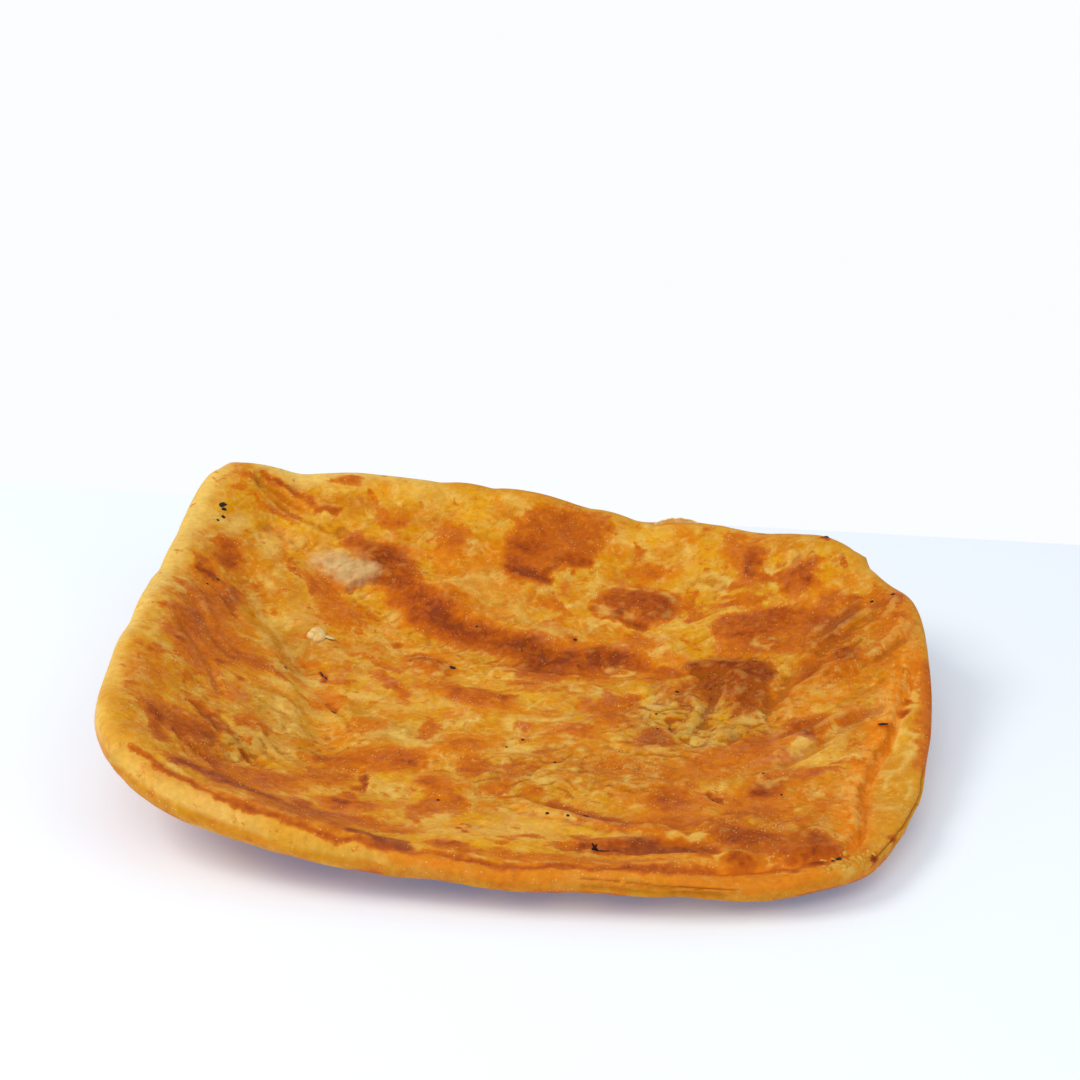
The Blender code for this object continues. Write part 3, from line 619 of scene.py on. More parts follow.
    ], "lines": [
        (3.2, 0.7, [(-44, -7), (-37, -14), (-30, -23)]),
    ]},
    "mauve": {"spots": [
        (-75.8, 74.4, 1.6, 1.1, 0.8), (-47.6, 49.4, 1.9, 1.6, 0.8), (-79.5, 23, 5, 2.2, 0.6, 100),
        (-83.3, 5, 2.5, 2, 0.5), (-65.4, -46.4, 1.9, 1.5, 0.8), (29.6, 10.1, 1.5, 1.3, 0.8),
        (74.5, 34.8, 6, 2.5, 0.6, 40), (6.4, -24.6, 1.2, 1.1, 0.9), (32, -15.5, 5.5, 4.7, 0.35, 90),
        (-38.5, -71.3, 9.5, 5.5, 0.4), (70.5, -60.2, 2.6, 2.2, 0.5), (38, -66, 8, 3.6, 0.5),
    ], "lines": [
        (1.6, 0.6, [(-66, -67.5), (-60, -66), (-52, -67.5), (-45, -68.5)]),
        # painted shadow: this line darkens the furrow above the ridge from (13.1, -47.4) to (30.3, -55)
        (1.6, 0.5, [(13.1, -47.4), (20.3, -51.7), (30.3, -55)]),
        (1, 0.7, [(-26.1, -76.7), (-21.1, -78.5), (-14.7, -79.2)]),
    ]},
    # spots where the painted sheen is stronger
    "paintedSheenSpots": {"spots": [
        (-5, -62, 34, 14, 0.9), (-30, 2, 26, 14, 0.7, -10), (10, -2, 30, 16, 0.6), (66, -20, 16, 14, 0.9, 30),
        (-62, -20, 12, 16, 0.7), (44, -10, 18, 16, 0.8), (20, 26, 30, 8, 0.5), (-45, -66, 24, 9, 0.8, -8),
        (58, 40, 18, 20, 0.3), (-82, 6, 9, 30, 0.4), (60, -52, 20, 12, 0.4),
    ]},
    "flour": {"spots": [
        (-57.5, 51, 8.4, 4.6, 1, -12), (-52.5, 49.4, 5.6, 3.2, 1),
    ]},
}

# fine relief in millimetres
# noises are given as size, seed, octaves and fall
crustRelief = {
    "lumps": {"noise": (13.0, 11, 3, 0.42), "height": 0.30},
    "wrinkles": [  # size, stretch, height, seed
        (9.0, 1.7, 0.50, 23), (4.4, 1.3, 0.66, 29),
    ],
    "flakes": {"noise": (15.0, 37, 2, 0.45), "levels": 2.6, "step": 0.34},
    "bubbles": {"size": 5.6, "radius": 0.36, "share": 0.5, "height": 0.40, "seed": 41},
    "pinholes": {"size": 3.4, "radius": 0.25, "share": 0.35, "height": 0.10, "seed": 43},
    "drifts": [(9.0, 53, 2), (9.0, 59, 2), (9.0, 61, 2)],
    "wrinkleHeadings": {"left": -48, "middle": -9, "right": 42},  # degrees
    "toastRise": 0.22,
    "breaks": [(5.5, 61, 3, 0.6), (5.5, 67, 3, 0.6)],  # noises that make the marks' outlines uneven
    "breakReach": 1.3,
    "rimBreaks": (4.0, 149, 2),
    "flourClots": (2.6, 151, 2, 0.6),
    "lobe": {"front": (-70, -75), "right": (18, 38)},  # from where to where the front right fold turns smooth
    "deepestGap": 2.6,
    "ridgeStep": 2,
    "ridgeLift": 0.22,
    "edgeDrift": 0.7,
    "edgeWander": (13.0, 97, 2, 0.4),
    "edgeInset": 0.9,
    "edgeRun": 2.6,  # of the top layer's cut edge
    "edgeShare": 0.72,  # of the whole step; the rest of it is the soft dough's slope
    "edgeRoll": 0.10,
    "edgeCrevice": 0.35,
}
fineFolds = [  # lift (less than 0 for a furrow), half width, points
    (0.9, 2.2, [(37, 20.5), (42, 21.8), (50, 20.3), (54, 19)]),
    (-0.8, 1.5, [(38, 18.4), (44, 18.8), (50, 17.4)]), (-0.8, 1.6, [(46, 17), (44.5, 10), (45, 5)]),
    (0.6, 2.2, [(50, 16), (51, 8), (50, 1)]), (-0.5, 1.3, [(56, 12), (58, 5), (57, -2)]),
    (-0.9, 1.3, [(-73, -33), (-68.5, -36.5), (-65, -40)]),
    (-0.8, 1.1, [(-58.5, -44.8), (-55.5, -46.8), (-52, -50)]),
    (-0.6, 1.2, [(-84, 74.8), (-76.9, 73.7), (-70.4, 70.1), (-67.6, 67.6), (-62.6, 66.9)]),
    (0.6, 1.8, [(-82, 70.5), (-75, 69), (-70, 66), (-63, 64)]),
    (-0.8, 1, [(-54, 45.1), (-50.4, 47.3), (-44, 46.9)]), (0.7, 1.6, [(-58, 49), (-52, 50), (-45, 49.5)]),
    (-0.6, 1, [(10.3, 43), (13.9, 41.2), (16.7, 40.2), (20.3, 38), (24.6, 37.1)]),
    (-0.6, 1.6, [(13, -48), (20, -51.5), (30, -54.6)]), (-0.7, 1.8, [(29, -68.5), (38, -67), (48, -65)]),
    (0.5, 1.8, [(28, -71.5), (40, -71), (52, -69)]),
    (-0.55, 1, [(-79.4, -69.6), (-70.4, -70.6), (-58.3, -75.3), (-50.4, -77.8), (-32.6, -80.3), (0, -80.6),
        (14, -80.2), (40, -77)]), (-0.9, 0.8, [(46.4, -39.6), (47.4, -41.7), (49.2, -43.1)]),
    (-0.5, 2, [(-4, 27.3), (1.7, 25.6), (8.9, 24.8), (18.9, 25.1)]),
    (0.5, 2.6, [(-40, 52), (-25, 40), (-10, 33.5), (5, 31)]), (-0.6, 1.6, [(71, 31.6), (78, 38)]),
    (-0.5, 1.5, [(64, 11), (70, 18)]), (-0.6, 1.5, [(62, -12.5), (67, -9.5), (71, -5)]),
    (0.5, 2, [(80.3, 16.6), (88, 25)]), (0.5, 1.6, [(60, -21), (72, -12)]),
    (-0.4, 1.4, [(62, -24), (74, -15)]), (0.4, 2, [(64, -44), (70, -30), (78, -22)]),
    (-0.5, 1.5, [(-88, 12), (-80, 4), (-72, -6)]), (-0.5, 1.6, [(-84, -2), (-76, -12), (-70, -22)]),
    (0.5, 2, [(-90, 20), (-82, 10)]), (-0.5, 1.5, [(-90, 30), (-82, 24), (-77, 16)]),
    (0.45, 1.6, [(-80, -20), (-72, -30), (-62, -40)]), (-0.45, 1.2, [(-72, -50), (-65, -55), (-58, -62)]),
    (0.5, 1.6, [(-60, -30), (-52, -40), (-44, -46)]),
    (-0.5, 1.2, [(-31.9, -41.7), (-30.2, -46), (-29.7, -50.3)]),
    (-0.4, 1.2, [(-47.6, -6.7), (-43.3, -11.7), (-39.7, -19.6)]),
    (0.5, 1.4, [(30, -7), (36, -12), (45, -14), (52, -9)]), (-0.5, 1.2, [(28, 2), (34, -3), (36, -10)]),
    (0.5, 1.5, [(38, 8), (41, 1), (40, -6)]), (-0.5, 1.2, [(22, -20), (30, -23), (40, -22)]),
    (0.9, 2.6, [(44, -81), (54, -78.4), (66, -73.5)]),
    (-0.7, 1.2, [(36, -79.4), (48, -75.4), (58, -71.2), (68, -68)]),
    (-0.8, 0.8, [(30, -84), (42, -82), (52, -78.2), (60, -75), (67, -71.4)]),
]


rimmedBubbles = [  # x, y, half length, half width, turn in degrees, lift; a pale rim shows round each
    (48.1, -10.3, 3.6, 2.8, 90, 0.59), (40.3, 52.7, 4.6, 2.6, 0, 0.38), (6.2, -2.6, 6.8, 5.6, 90, 0.32),
    (42.6, -14.4, 2.6, 1.9, 30, 0.38), (38.2, -9.6, 2.3, 1.8, 0, 0.43), (13, 9.4, 4.8, 3.2, -8, 0.43),
    (26.6, -2.8, 3.4, 2.4, -20, 0.38), (54.6, -3.6, 2.6, 2, 70, 0.43), (-28, 17, 6.4, 3.6, -45, 0.32),
    (22.8, -15.6, 3.2, 2.2, -10, 0.38), (35.6, 4.6, 2.8, 2.2, 60, 0.49), (5.4, -19.4, 7.5, 3.6, 10, 0.32),
    (33.6, -19.4, 3.2, 2, 15, 0.38), (60.4, -31, 4.6, 3.4, 60, 0.38), (-8, 15.4, 4, 2.4, -20, 0.32),
    (20.4, 20, 3.6, 2.4, 0, 0.32), (-55.4, -16, 3.8, 2.4, -50, 0.32), (-22.4, -49, 2.6, 2, 0, 0.32),
    (56, 27.4, 3.4, 2, 0, 0.32), (11, -36.6, 5.6, 4.4, 0, 0.32), (21, 45.5, 10.8, 6.8, -8, 0.27),
    (88, -32, 3.2, 6, 0, 0.32), (89.6, -14, 2.4, 5, 0, 0.32), (30, -36, 3.6, 2.6, 0, 0.32),
]


def rimmedBubble(x, y, bubble):
    # the height of a flat-topped dome with a furrow round it, and the mask of its rim, by elliptical distance
    *ellipse, lift = bubble
    share = ellipseShare(x, y, *ellipse)
    width = 0.55 / min(ellipse[2:4])
    height = lift * (1 - smoothStep(0.55, 1.0, share)) - 0.3 * lift * dome((share - 1.05) / (2 * width))
    return height, dome((share - 0.92) / (1.6 * width))


crumpledPlaces = {  # where the dough is most crumpled, as spots of crustMarks
    "spots": [
        (42, -4, 22, 18, 0.95), (14, -36, 34, 14, 0.55, 5), (58, -56, 24, 10, 0.5), (-44, -30, 16, 14, 0.45),
        (48, 16, 13, 10, 0.9), (-64, -46, 14, 12, 0.6, -30), (74, 24, 14, 20, 0.5),
        (-10, 24, 28, 8, 0.4, -10), (-50, 52, 10, 8, 0.5), (72, 58, 14, 8, 0.4),
    ],
}


def insideDistance(x, y, outline):
    # distance to the closed outline, more than 0 inside, where a ray crosses it an odd number of times
    closed = outline + outline[:1]
    inside = np.zeros(x.shape, bool)
    for (startX, startY), (endX, endY) in zip(closed, closed[1:]):
        if startY != endY:
            crosses = (startY > y) != (endY > y)
            inside ^= crosses & (x < (endX - startX) * (y - startY) / (endY - startY) + startX)
    distance = abs(alongLine(x, y, closed)[0])
    return np.where(inside, distance, -distance)


def markField(x, y, marks):
    # screen of the marks: 1 - product of (1 - strength x flat-topped dome); x and y in millimetres
    clear = np.ones(x.shape)
    for *ellipse, strength, turn in (spot if len(spot) > 5 else (*spot, 0) for spot in marks["spots"]):
        clear *= 1 - strength * (1 - smoothStep(0.25, 1.45, ellipseShare(x, y, *ellipse, turn)))
    for soft, strength, points in marks.get("patches", []):
        clear *= 1 - strength * smoothStep(-soft, soft, insideDistance(x, y, points))
    for halfWidth, strength, points in marks.get("lines", []):
        distance = abs(alongLine(x, y, points)[0])
        clear *= 1 - strength * (1 - smoothStep(0.2, 1.9, distance / halfWidth))
    return 1 - clear


def topRelief(points, x, y, turn):
    # lumps, wrinkles, flake edges and bubbles, in millimetres; points are the smooth form's, in millimetres
    lumps, flakes = crustRelief["lumps"], crustRelief["flakes"]
    height = lumps["height"] * doughNoise(points, *lumps["noise"])
    calm = smoothStep(0.1, 0.9, turn)  # the rounded edge is smoother
    crumpled = markField(x, y, crumpledPlaces)
    # wrinkles run along each wall, as ridges where warped noise is 0
    left = 1 - smoothStep(-70, -35, x + 0.25 * y)
    right = smoothStep(35, 72, x - 0.2 * y)
    shares = {"left": left, "middle": (1 - left) * (1 - right), "right": right}
    drift = np.stack([doughNoise(points, *noise) for noise in crustRelief["drifts"]], 1)
    for size, stretch, lift, seed in crustRelief["wrinkles"]:
        crumple = 0
        for wall, heading in crustRelief["wrinkleHeadings"].items():
            fold = abs(doughNoise(turned(points + 0.28 * size * drift, heading, stretch), size, seed))
            crumple = crumple + shares[wall] * np.maximum(1 - fold, 0) ** 2.5
        height = height + lift * (0.5 - crumple) * (0.2 + 0.9 * crumpled) * (1 - 0.85 * calm)
    for lift, halfWidth, line in fineFolds:
        distance = abs(alongLine(x + 0.6 * drift[:, 0], y + 0.6 * drift[:, 1], line)[0])
        height = height + lift * (1 - smoothStep(0, 1.3, distance / halfWidth))
    for bubble in rimmedBubbles:
        height = height + rimmedBubble(x + 0.9 * drift[:, 0], y + 0.9 * drift[:, 1], bubble)[0]
    part = flakes["levels"] * doughNoise(points + 1.5 * drift, *flakes["noise"]) % 1
    flake = flakes["step"] * (smoothStep(0.80, 0.99, part) - part)
    height = height + flake * (0.3 + 0.8 * crumpled) * (1 - 0.8 * calm)
    for settings in (crustRelief["bubbles"], crustRelief["pinholes"]):
        first, chance = bubbleCells(points, settings["size"], settings["seed"])
        there = smoothStep(1 - settings["share"], 1 - settings["share"] + 0.1, chance)
        bubble = settings["height"] * there * dome(first / (settings["radius"] * (0.6 + 0.8 * chance)))
        height = height + bubble * (1 - 0.7 * calm) * (0.6 + 0.7 * crumpled)
    return height


gapSettings = {  # where the layers part at the edge: millimetres, and radians round the edge's curve
    "rightLip": {
        "line": [(91.5, -20), (89.5, -40), (86, -56), (80, -66.5)], "from": 1.05, "to": 1.42, "depth": 0.8,
    },
    "frontUnder": {"line": [(18, -84), (34, -82.4), (58, -77)], "from": 1.22, "to": 1.50, "depth": 0.7},
}


def edgeGap(x, y, turn, noise):
    # how deep the layers part there: a groove between two turns of the edge, fading at the line's ends
    deep = np.zeros(x.shape)
    for gap in gapSettings.values():
        distance, run, length = alongLine(x, y, gap["line"])
        near = 1 - smoothStep(6.5, 9.0, abs(distance))
        fade = smoothStep(0, 8, run) * smoothStep(0, 8, length - run)
        middle = (gap["from"] + gap["to"]) / 2 + 0.12 * noise
        half = (gap["to"] - gap["from"]) / 2 * (0.85 + 0.5 * noise)
        across = dome(np.clip((turn - middle) / np.maximum(half, 0.05), -1, 1))
        deep = np.maximum(deep, gap["depth"] * near * fade * across)
    return np.minimum(deep, crustRelief["deepestGap"])


bodySettings = {"topRings": 140, "noseRings": 14}  # middle to edge; the underside has half as many
undersideSettings = {
    "lumps": (12.0, 71, 3), "lift": 0.28, "sink": 0.12,
    "clouds": (26.0, 83, 3, 0.6), "smallClouds": (7.0, 89, 3, 0.6), "toast": 0.75, "orange": 0.6,
}


def squareGrid(rings):
    line = np.linspace(-1, 1, 2 * rings + 1)
    v, u = np.meshgrid(line, line, indexing="ij")
    return u.ravel(), v.ravel()


def gridQuads(count):
    # corners of each cell of a count x count grid of vertices, counter-clockwise
    first = (np.arange(count - 1)[:, None] * count + np.arange(count - 1)).ravel()
    return np.stack([first, first + 1, first + count + 1, first + count], 1)


def softenEar(points, count, rounds):
    # repeated averages of neighbours, mixed in near the back left corner
    earX, earY, reach = breadForm["ear"]
    share = dome(np.hypot(points[:, 0] - earX, points[:, 1] - earY) / reach).reshape(count, count, 1)
    grid = points.reshape(count, count, 3)
    for _ in range(rounds):
        wide = np.pad(grid, ((1, 1), (1, 1), (0, 0)), "edge")
        mean = (wide[:-2, 1:-1] + wide[2:, 1:-1] + wide[1:-1, :-2] + wide[1:-1, 2:]) / 4
        grid = grid + 0.8 * share * (mean - grid)
    return grid.reshape(-1, 3)


def fineTop():
    # the solid's top with fine relief along the sheet's normal, and the marks there
    rings = bodySettings["topRings"]
    u, v = squareGrid(rings)
    points, turn, sheetX, sheetY = breadPoints(u, v, 1, 1 - bodySettings["noseRings"] / rings)
    count = 2 * rings + 1
    points = softenEar(points.T / mm, count, breadForm["earRounds"])
    x, y = (points[:, axis] + breadMiddle[axis] / mm for axis in (0, 1))
    normals = gridNormals(points, count)
    drift = np.stack([doughNoise(points, *noise) for noise in crustRelief["breaks"]], 1)
    markX, markY = np.stack([x, y]) + crustRelief["breakReach"] * drift.T
    fields = {name: markField(markX, markY, marks) for name, marks in crustMarks.items()}
    gap = edgeGap(x, y, turn, drift[:, 0])
    distance, ends = layerCut(sheetX, sheetY)
    fields["edge"] = np.clip(distance, -9, 9)
    fields["edgeEnds"] = ends
    fields["lip"] = ends * smoothStep(-66, -58, y)
    fields["gap"] = np.clip(gap / 1.6, 0, 1)
    fields["crumpled"] = markField(markX, markY, crumpledPlaces)
    broken = smoothStep(-0.35, 0.25, doughNoise(points, *crustRelief["rimBreaks"]))
    rims = [rimmedBubble(markX, markY, bubble)[1] for bubble in rimmedBubbles]
    fields["rim"] = np.max(rims, axis=0) * broken * (1 - 0.85 * fields["toast"])
    lobe = smoothStep(*crustRelief["lobe"]["front"], y) * smoothStep(*crustRelief["lobe"]["right"], x)
    under = 0.55 * smoothStep(-0.3, 0.6, distance) * ends  # the layer below, beyond the cut edge
    fields["calm"] = np.maximum(np.maximum(smoothStep(0.2, 0.8, turn), under), lobe)
    calmer = (1 - under) * (1 - 0.75 * ends * dome(distance / 3.5)) * (1 - 0.6 * smoothStep(0.3, 1.2, turn))
    rise = topRelief(points, x, y, turn) * calmer
    rise = rise + fields["flour"] * (0.25 + 0.35 * abs(doughNoise(points, *crustRelief["flourClots"])))
    rise = rise + crustRelief["toastRise"] * fields["toast"] * (1 - smoothStep(0.3, 1, turn))
    points = points + normals * (rise * smoothStep(np.pi / 2, 1.2, turn) - gap)[:, None]
    cut = ends * smoothStep(-4, -1, distance) * (1 - smoothStep(2, 4, distance))
    fields["ridge"] = ridgeField(points, normals, count) * (1 - smoothStep(0.3, 0.9, turn)) * (1 - cut)
    return points, fields, x, y, turn


def ridgeField(points, normals, count):
    # how far each vertex stands out from the mean of those two steps away
    step = crustRelief["ridgeStep"]
    grid = points.reshape(count, count, 3)
    wide = np.pad(grid, ((step, step), (step, step), (0, 0)), "edge")
    near, far = slice(None, -2 * step), slice(2 * step, None)
    middle = slice(step, -step)
    out = grid - (wide[near, middle] + wide[far, middle] + wide[middle, near] + wide[middle, far]) / 4
    return np.clip(np.einsum("ij,ij->i", out.reshape(-1, 3), normals) / crustRelief["ridgeLift"], -1, 1)


def gridNormals(points, count):
    # cross product of central differences over the grid
    grid = points.reshape(count, count, 3)
    normal = np.cross(np.gradient(grid, axis=1), np.gradient(grid, axis=0))
    normal /= np.maximum(np.linalg.norm(normal, axis=2, keepdims=True), tiny)
    return normal.reshape(-1, 3)


def fineUnderside():
    # the solid's underside, slightly lumpy where it doesn't rest, with browned clouds
    rings = bodySettings["topRings"] // 2
    u, v = squareGrid(rings)
    points, turn, _, _ = breadPoints(u, v, -1, 1 - bodySettings["noseRings"] / bodySettings["topRings"])
    count = 2 * rings + 1
    points = softenEar(points.T / mm, count, breadForm["earRounds"] // 4)
    x, y = (points[:, axis] + breadMiddle[axis] / mm for axis in (0, 1))
    values = undersideSettings
    rise = values["lift"] * doughNoise(points, *values["lumps"]) - values["sink"]
    rise = rise * smoothStep(0.15, 3, points[:, 2])
    gap = edgeGap(x, y, turn, doughNoise(points, *crustRelief["breaks"][0]))
    points = points - gridNormals(points, count) * (rise * smoothStep(np.pi / 2, 1.2, turn) - gap)[:, None]
    brown = doughNoise(points, *values["clouds"]) + 0.35 * doughNoise(points, *values["smallClouds"])
    none = np.zeros(len(points))
    fields = {name: none for name in (*crustMarks, "crumpled", "rim", "lip", "edgeEnds", "ridge")}
    fields["toast"] = values["toast"] * smoothStep(-0.05, 0.55, brown) * (1 - smoothStep(0.4, 1.2, turn))
    fields["orange"] = values["orange"] * smoothStep(-0.4, 0.3, brown)
    fields["edge"] = none + 9
    fields["gap"] = np.clip(gap / 1.6, 0, 1)
    fields["calm"] = smoothStep(0.2, 0.8, turn)
    return points, fields


def makeBread():
    topPoints, topFields, x, y, turn = fineTop()
    lowPoints, lowFields = fineUnderside()
    topCount = 2 * bodySettings["topRings"] + 1
    lowCount = (topCount + 1) // 2
    # the underside's outermost vertices are every other one of the top's
    row, column = np.divmod(np.arange(lowCount**2), lowCount)
    outer = (row == 0) | (column == 0) | (row == lowCount - 1) | (column == lowCount - 1)
    number = np.where(outer, (2 * row) * topCount + 2 * column, 0)
    number[~outer] = topCount**2 + np.arange((~outer).sum())
    cells = gridQuads(lowCount)[:, ::-1]
    edgeCell = outer[cells].sum(1) > 1
    faces = gridQuads(topCount).tolist() + number[cells[~edgeCell]].tolist()
    faces += [withMiddles(cell, number, lowCount, topCount) for cell in cells[edgeCell].tolist()]
    points = np.concatenate([topPoints, lowPoints[~outer]])
    fields = {name: np.concatenate([topFields[name], lowFields[name][~outer]]) for name in topFields}
    low, high = np.array(cadLow) / mm, np.array(cadHigh) / mm
    points = np.clip(points, low + boxInset, high - boxInset)
    mesh = bpy.data.meshes.new("breadBody")
    mesh.from_pydata((points * mm).tolist(), [], faces)
    for name, values in fields.items():
        mesh.attributes.new(name, "FLOAT", "POINT").data.foreach_set("value", values.astype(np.float32))
    mesh.shade_smooth()
    return addObject("breadBody", mesh), topPoints, topFields, x, y, turn


def withMiddles(cell, number, lowCount, topCount):
    # an underside cell at the edge also takes in the top's vertex between two outermost ones
    corners = []
    for here, after in zip(cell, cell[1:] + cell[:1]):
        corners.append(int(number[here]))
        rowHere, columnHere = divmod(here, lowCount)
        rowAfter, columnAfter = divmod(after, lowCount)
        ends = (0, lowCount - 1)
        if (rowHere == rowAfter and rowHere in ends) or (columnHere == columnAfter and columnHere in ends):
            corners.append((rowHere + rowAfter) * topCount + columnHere + columnAfter)
    return corners


def newGroup(name, inputs, outputs):
    # inputs: names with starting numbers, None for a place; outputs are numbers
    group = bpy.data.node_groups.new(name, "ShaderNodeTree")
    for label, start in inputs.items():
        kind = "NodeSocketVector" if start is None else "NodeSocketFloat"
        socket = group.interface.new_socket(label, in_out="INPUT", socket_type=kind)
        if start is not None:
            socket.default_value = start
    for label in outputs:
        group.interface.new_socket(label, in_out="OUTPUT", socket_type="NodeSocketFloat")
    return group, group.nodes.new("NodeGroupInput").outputs, group.nodes.new("NodeGroupOutput").inputs


def addNode(tree, kind, settings=None, **inputs):
    # inputs by name, or by place as i0, i1 and so on: sockets are linked, values are set
    node = tree.nodes.new(kind)
    for key, value in (settings or {}).items():
        setattr(node, key, value)
    for key, value in inputs.items():
        place = int(key[1:]) if key[0] == "i" and key[1:].isdigit() else key.replace("_", " ")
        socket = node.inputs[place]
        if hasattr(value, "is_output"):
            tree.links.new(value, socket)
        else:
            socket.default_value = value
    return node


def mathOf(tree, operation, first, second=0.0, clamp=False):
    settings = {"operation": operation, "use_clamp": clamp}
    return addNode(tree, "ShaderNodeMath", settings, i0=first, i1=second).outputs[0]


def rampOf(tree, value, low, high, start=0.0, end=1.0):
    # smooth rise from start to end while the value goes from low to high
    settings = {"interpolation_type": "SMOOTHSTEP"}
    node = addNode(tree, "ShaderNodeMapRange", settings, i0=value, i1=low, i2=high, i3=start, i4=end)
    return node.outputs[0]


def mixOf(tree, share, first, second, blend="MIX"):
    first, second = ((*value, 1) if isinstance(value, tuple) else value for value in (first, second))
    settings = {"data_type": "RGBA", "blend_type": blend}
    return addNode(tree, "ShaderNodeMix", settings, i0=share, i6=first, i7=second).outputs[2]


def noiseOf(tree, place, size, detail=3.0, roughness=0.6, distortion=0.0):
    # size in millimetres, or a group's socket that gives the scale
    scale = size if hasattr(size, "is_output") else 1000 / size
    node = addNode(tree, "ShaderNodeTexNoise", Vector=place, Scale=scale, Detail=detail, Roughness=roughness)
    node.inputs["Distortion"].default_value = distortion
    return node.outputs["Fac"]


def cellsOf(tree, place, scale, feature="F1"):
    return addNode(tree, "ShaderNodeTexVoronoi", {"feature": feature}, Vector=place, Scale=scale)


def unevenGroup():
    # mask plus noise of a coarse and a fine size, strongest at the mask's half-way values
    inputs = {"Place": None, "Mask": 0.0, "Coarse": 250.0, "Fine": 900.0, "Amount": 0.3}
    group, given, result = newGroup("unevenMask", inputs, ["Mask"])
    coarse = noiseOf(group, given["Place"], given["Coarse"], 3.0)
    fine = noiseOf(group, given["Place"], given["Fine"], 2.0)
    wobble = mathOf(group, "SUBTRACT", mathOf(group, "ADD", coarse, fine), 1.0)
    wobble = mathOf(group, "MULTIPLY", wobble, given["Amount"])
    half = mathOf(group, "MULTIPLY", given["Mask"], mathOf(group, "SUBTRACT", 1.25, given["Mask"]))
    wobble = mathOf(group, "MULTIPLY", wobble, mathOf(group, "MULTIPLY", half, 6.0))
    group.links.new(mathOf(group, "ADD", given["Mask"], wobble, True), result["Mask"])
    return group


crustColours = {  # light that each kind of crust gives back, 0 to 1 before display correction
    "golden": (0.665, 0.280, 0.0026),
    "goldenDeep": (0.58, 0.190, 0.0026),
    "goldenYellow": (0.70, 0.325, 0.0040),
    "pale": (0.83, 0.54, 0.120),
    "cream": (0.79, 0.495, 0.105),
    "yellow": (0.79, 0.385, 0.010),
    "orange": (0.69, 0.195, 0.0028),
    "olive": (0.44, 0.185, 0.018),
    "toastHalo": (0.61, 0.162, 0.0040),
    "toastLight": (0.50, 0.112, 0.0065),
    "toast": (0.38, 0.070, 0.0060),
    "toastDark": (0.25, 0.044, 0.0070),
    "mauve": (0.25, 0.074, 0.030),
    "flour": (0.66, 0.43, 0.185),
    "layer": (0.64, 0.260, 0.0090),
    # the top layer's cut edge: its own orange, painted brighter to stand in for light coming through the thin
    # edge where the lamps leave it in shade; partly painted light
    "lip": (0.80, 0.205, 0.0040),
    "glow": (0.62, 0.13, 0.0010),  # painted glow: the top layer's thin edge gives off light in place of light coming through it
    # painted sheen, added to the colour in place of the oil's pale reflection
    "paintedSheen": (0.01, 0.034, 0.052),
    # painted shade for hollows of the relief and the crevice at the step's foot
    "paintedCreaseShade": (0.40, 0.100, 0.0050),
    # painted shade for the grooves where the layers part at the edge
    "gap": (0.42, 0.110, 0.006),
    "grain": (0.82, 0.53, 0.18),
}


def fieldOf(tree, name):
    return addNode(tree, "ShaderNodeAttribute", {"attribute_name": name}).outputs["Fac"]


def grainGroup():
    # tiny pale grains: cells of a fine pattern, a share of them kept
    group, given, result = newGroup("paleGrain", {"Place": None, "Scale": 900.0, "Share": 0.2}, ["Mask"])
    cells = cellsOf(group, given["Place"], given["Scale"])
    chance = addNode(group, "ShaderNodeSeparateColor", i0=cells.outputs["Color"]).outputs[0]
    kept = mathOf(group, "LESS_THAN", chance, given["Share"])
    dot = rampOf(group, cells.outputs["Distance"], 0.16, 0.34, 1.0, 0.0)
    group.links.new(mathOf(group, "MULTIPLY", kept, dot), result["Mask"])
    return group


def veinGroup():
    # thin pale wisps: where a warped noise crosses its middle value
    group, given, result = newGroup("paleVein", {"Place": None, "Scale": 120.0, "Width": 0.03}, ["Mask"])
    noise = noiseOf(group, given["Place"], given["Scale"], 5.0, 0.62, 0.6)
    away = mathOf(group, "ABSOLUTE", mathOf(group, "SUBTRACT", noise, 0.5))
    line = mathOf(group, "SUBTRACT", 1.0, mathOf(group, "DIVIDE", away, given["Width"]), True)
    group.links.new(line, result["Mask"])
    return group


def useGroup(tree, group, **inputs):
    return addNode(tree, "ShaderNodeGroup", {"node_tree": group}, **inputs).outputs


def flakeGroup():
    # warped cells of thin flakes: a mask of their edges, and a drawn height for each
    inputs = {"Place": None, "Scale": 180.0, "Warp": 0.003, "Width": 0.05}
    group, given, result = newGroup("flakeCells", inputs, ["Edge", "Height"])
    place = given["Place"]
    warped = addNode(group, "ShaderNodeTexNoise", Vector=place, Scale=260.0, Detail=3.0, Roughness=0.6)
    warped = warped.outputs["Color"]
    steps = ("SUBTRACT", {"i1": (0.5, 0.5, 0.5)}), ("SCALE", {"i3": given["Warp"]}), ("ADD", {"i1": place})
    for operation, values in steps:
        node = addNode(group, "ShaderNodeVectorMath", {"operation": operation}, i0=warped, **values)
        warped = node.outputs[0]
    edge, cell = (cellsOf(group, warped, given["Scale"], feature) for feature in ("DISTANCE_TO_EDGE", "F1"))
    chance = addNode(group, "ShaderNodeSeparateColor", i0=cell.outputs["Color"]).outputs
    line = mathOf(group, "DIVIDE", edge.outputs["Distance"], given["Width"])
    line = mathOf(group, "SUBTRACT", 1.0, line, True)
    line = mathOf(group, "MULTIPLY", line, rampOf(group, chance[0], 0.35, 0.8))
    group.links.new(line, result["Edge"])
    group.links.new(chance[1], result["Height"])
    return group


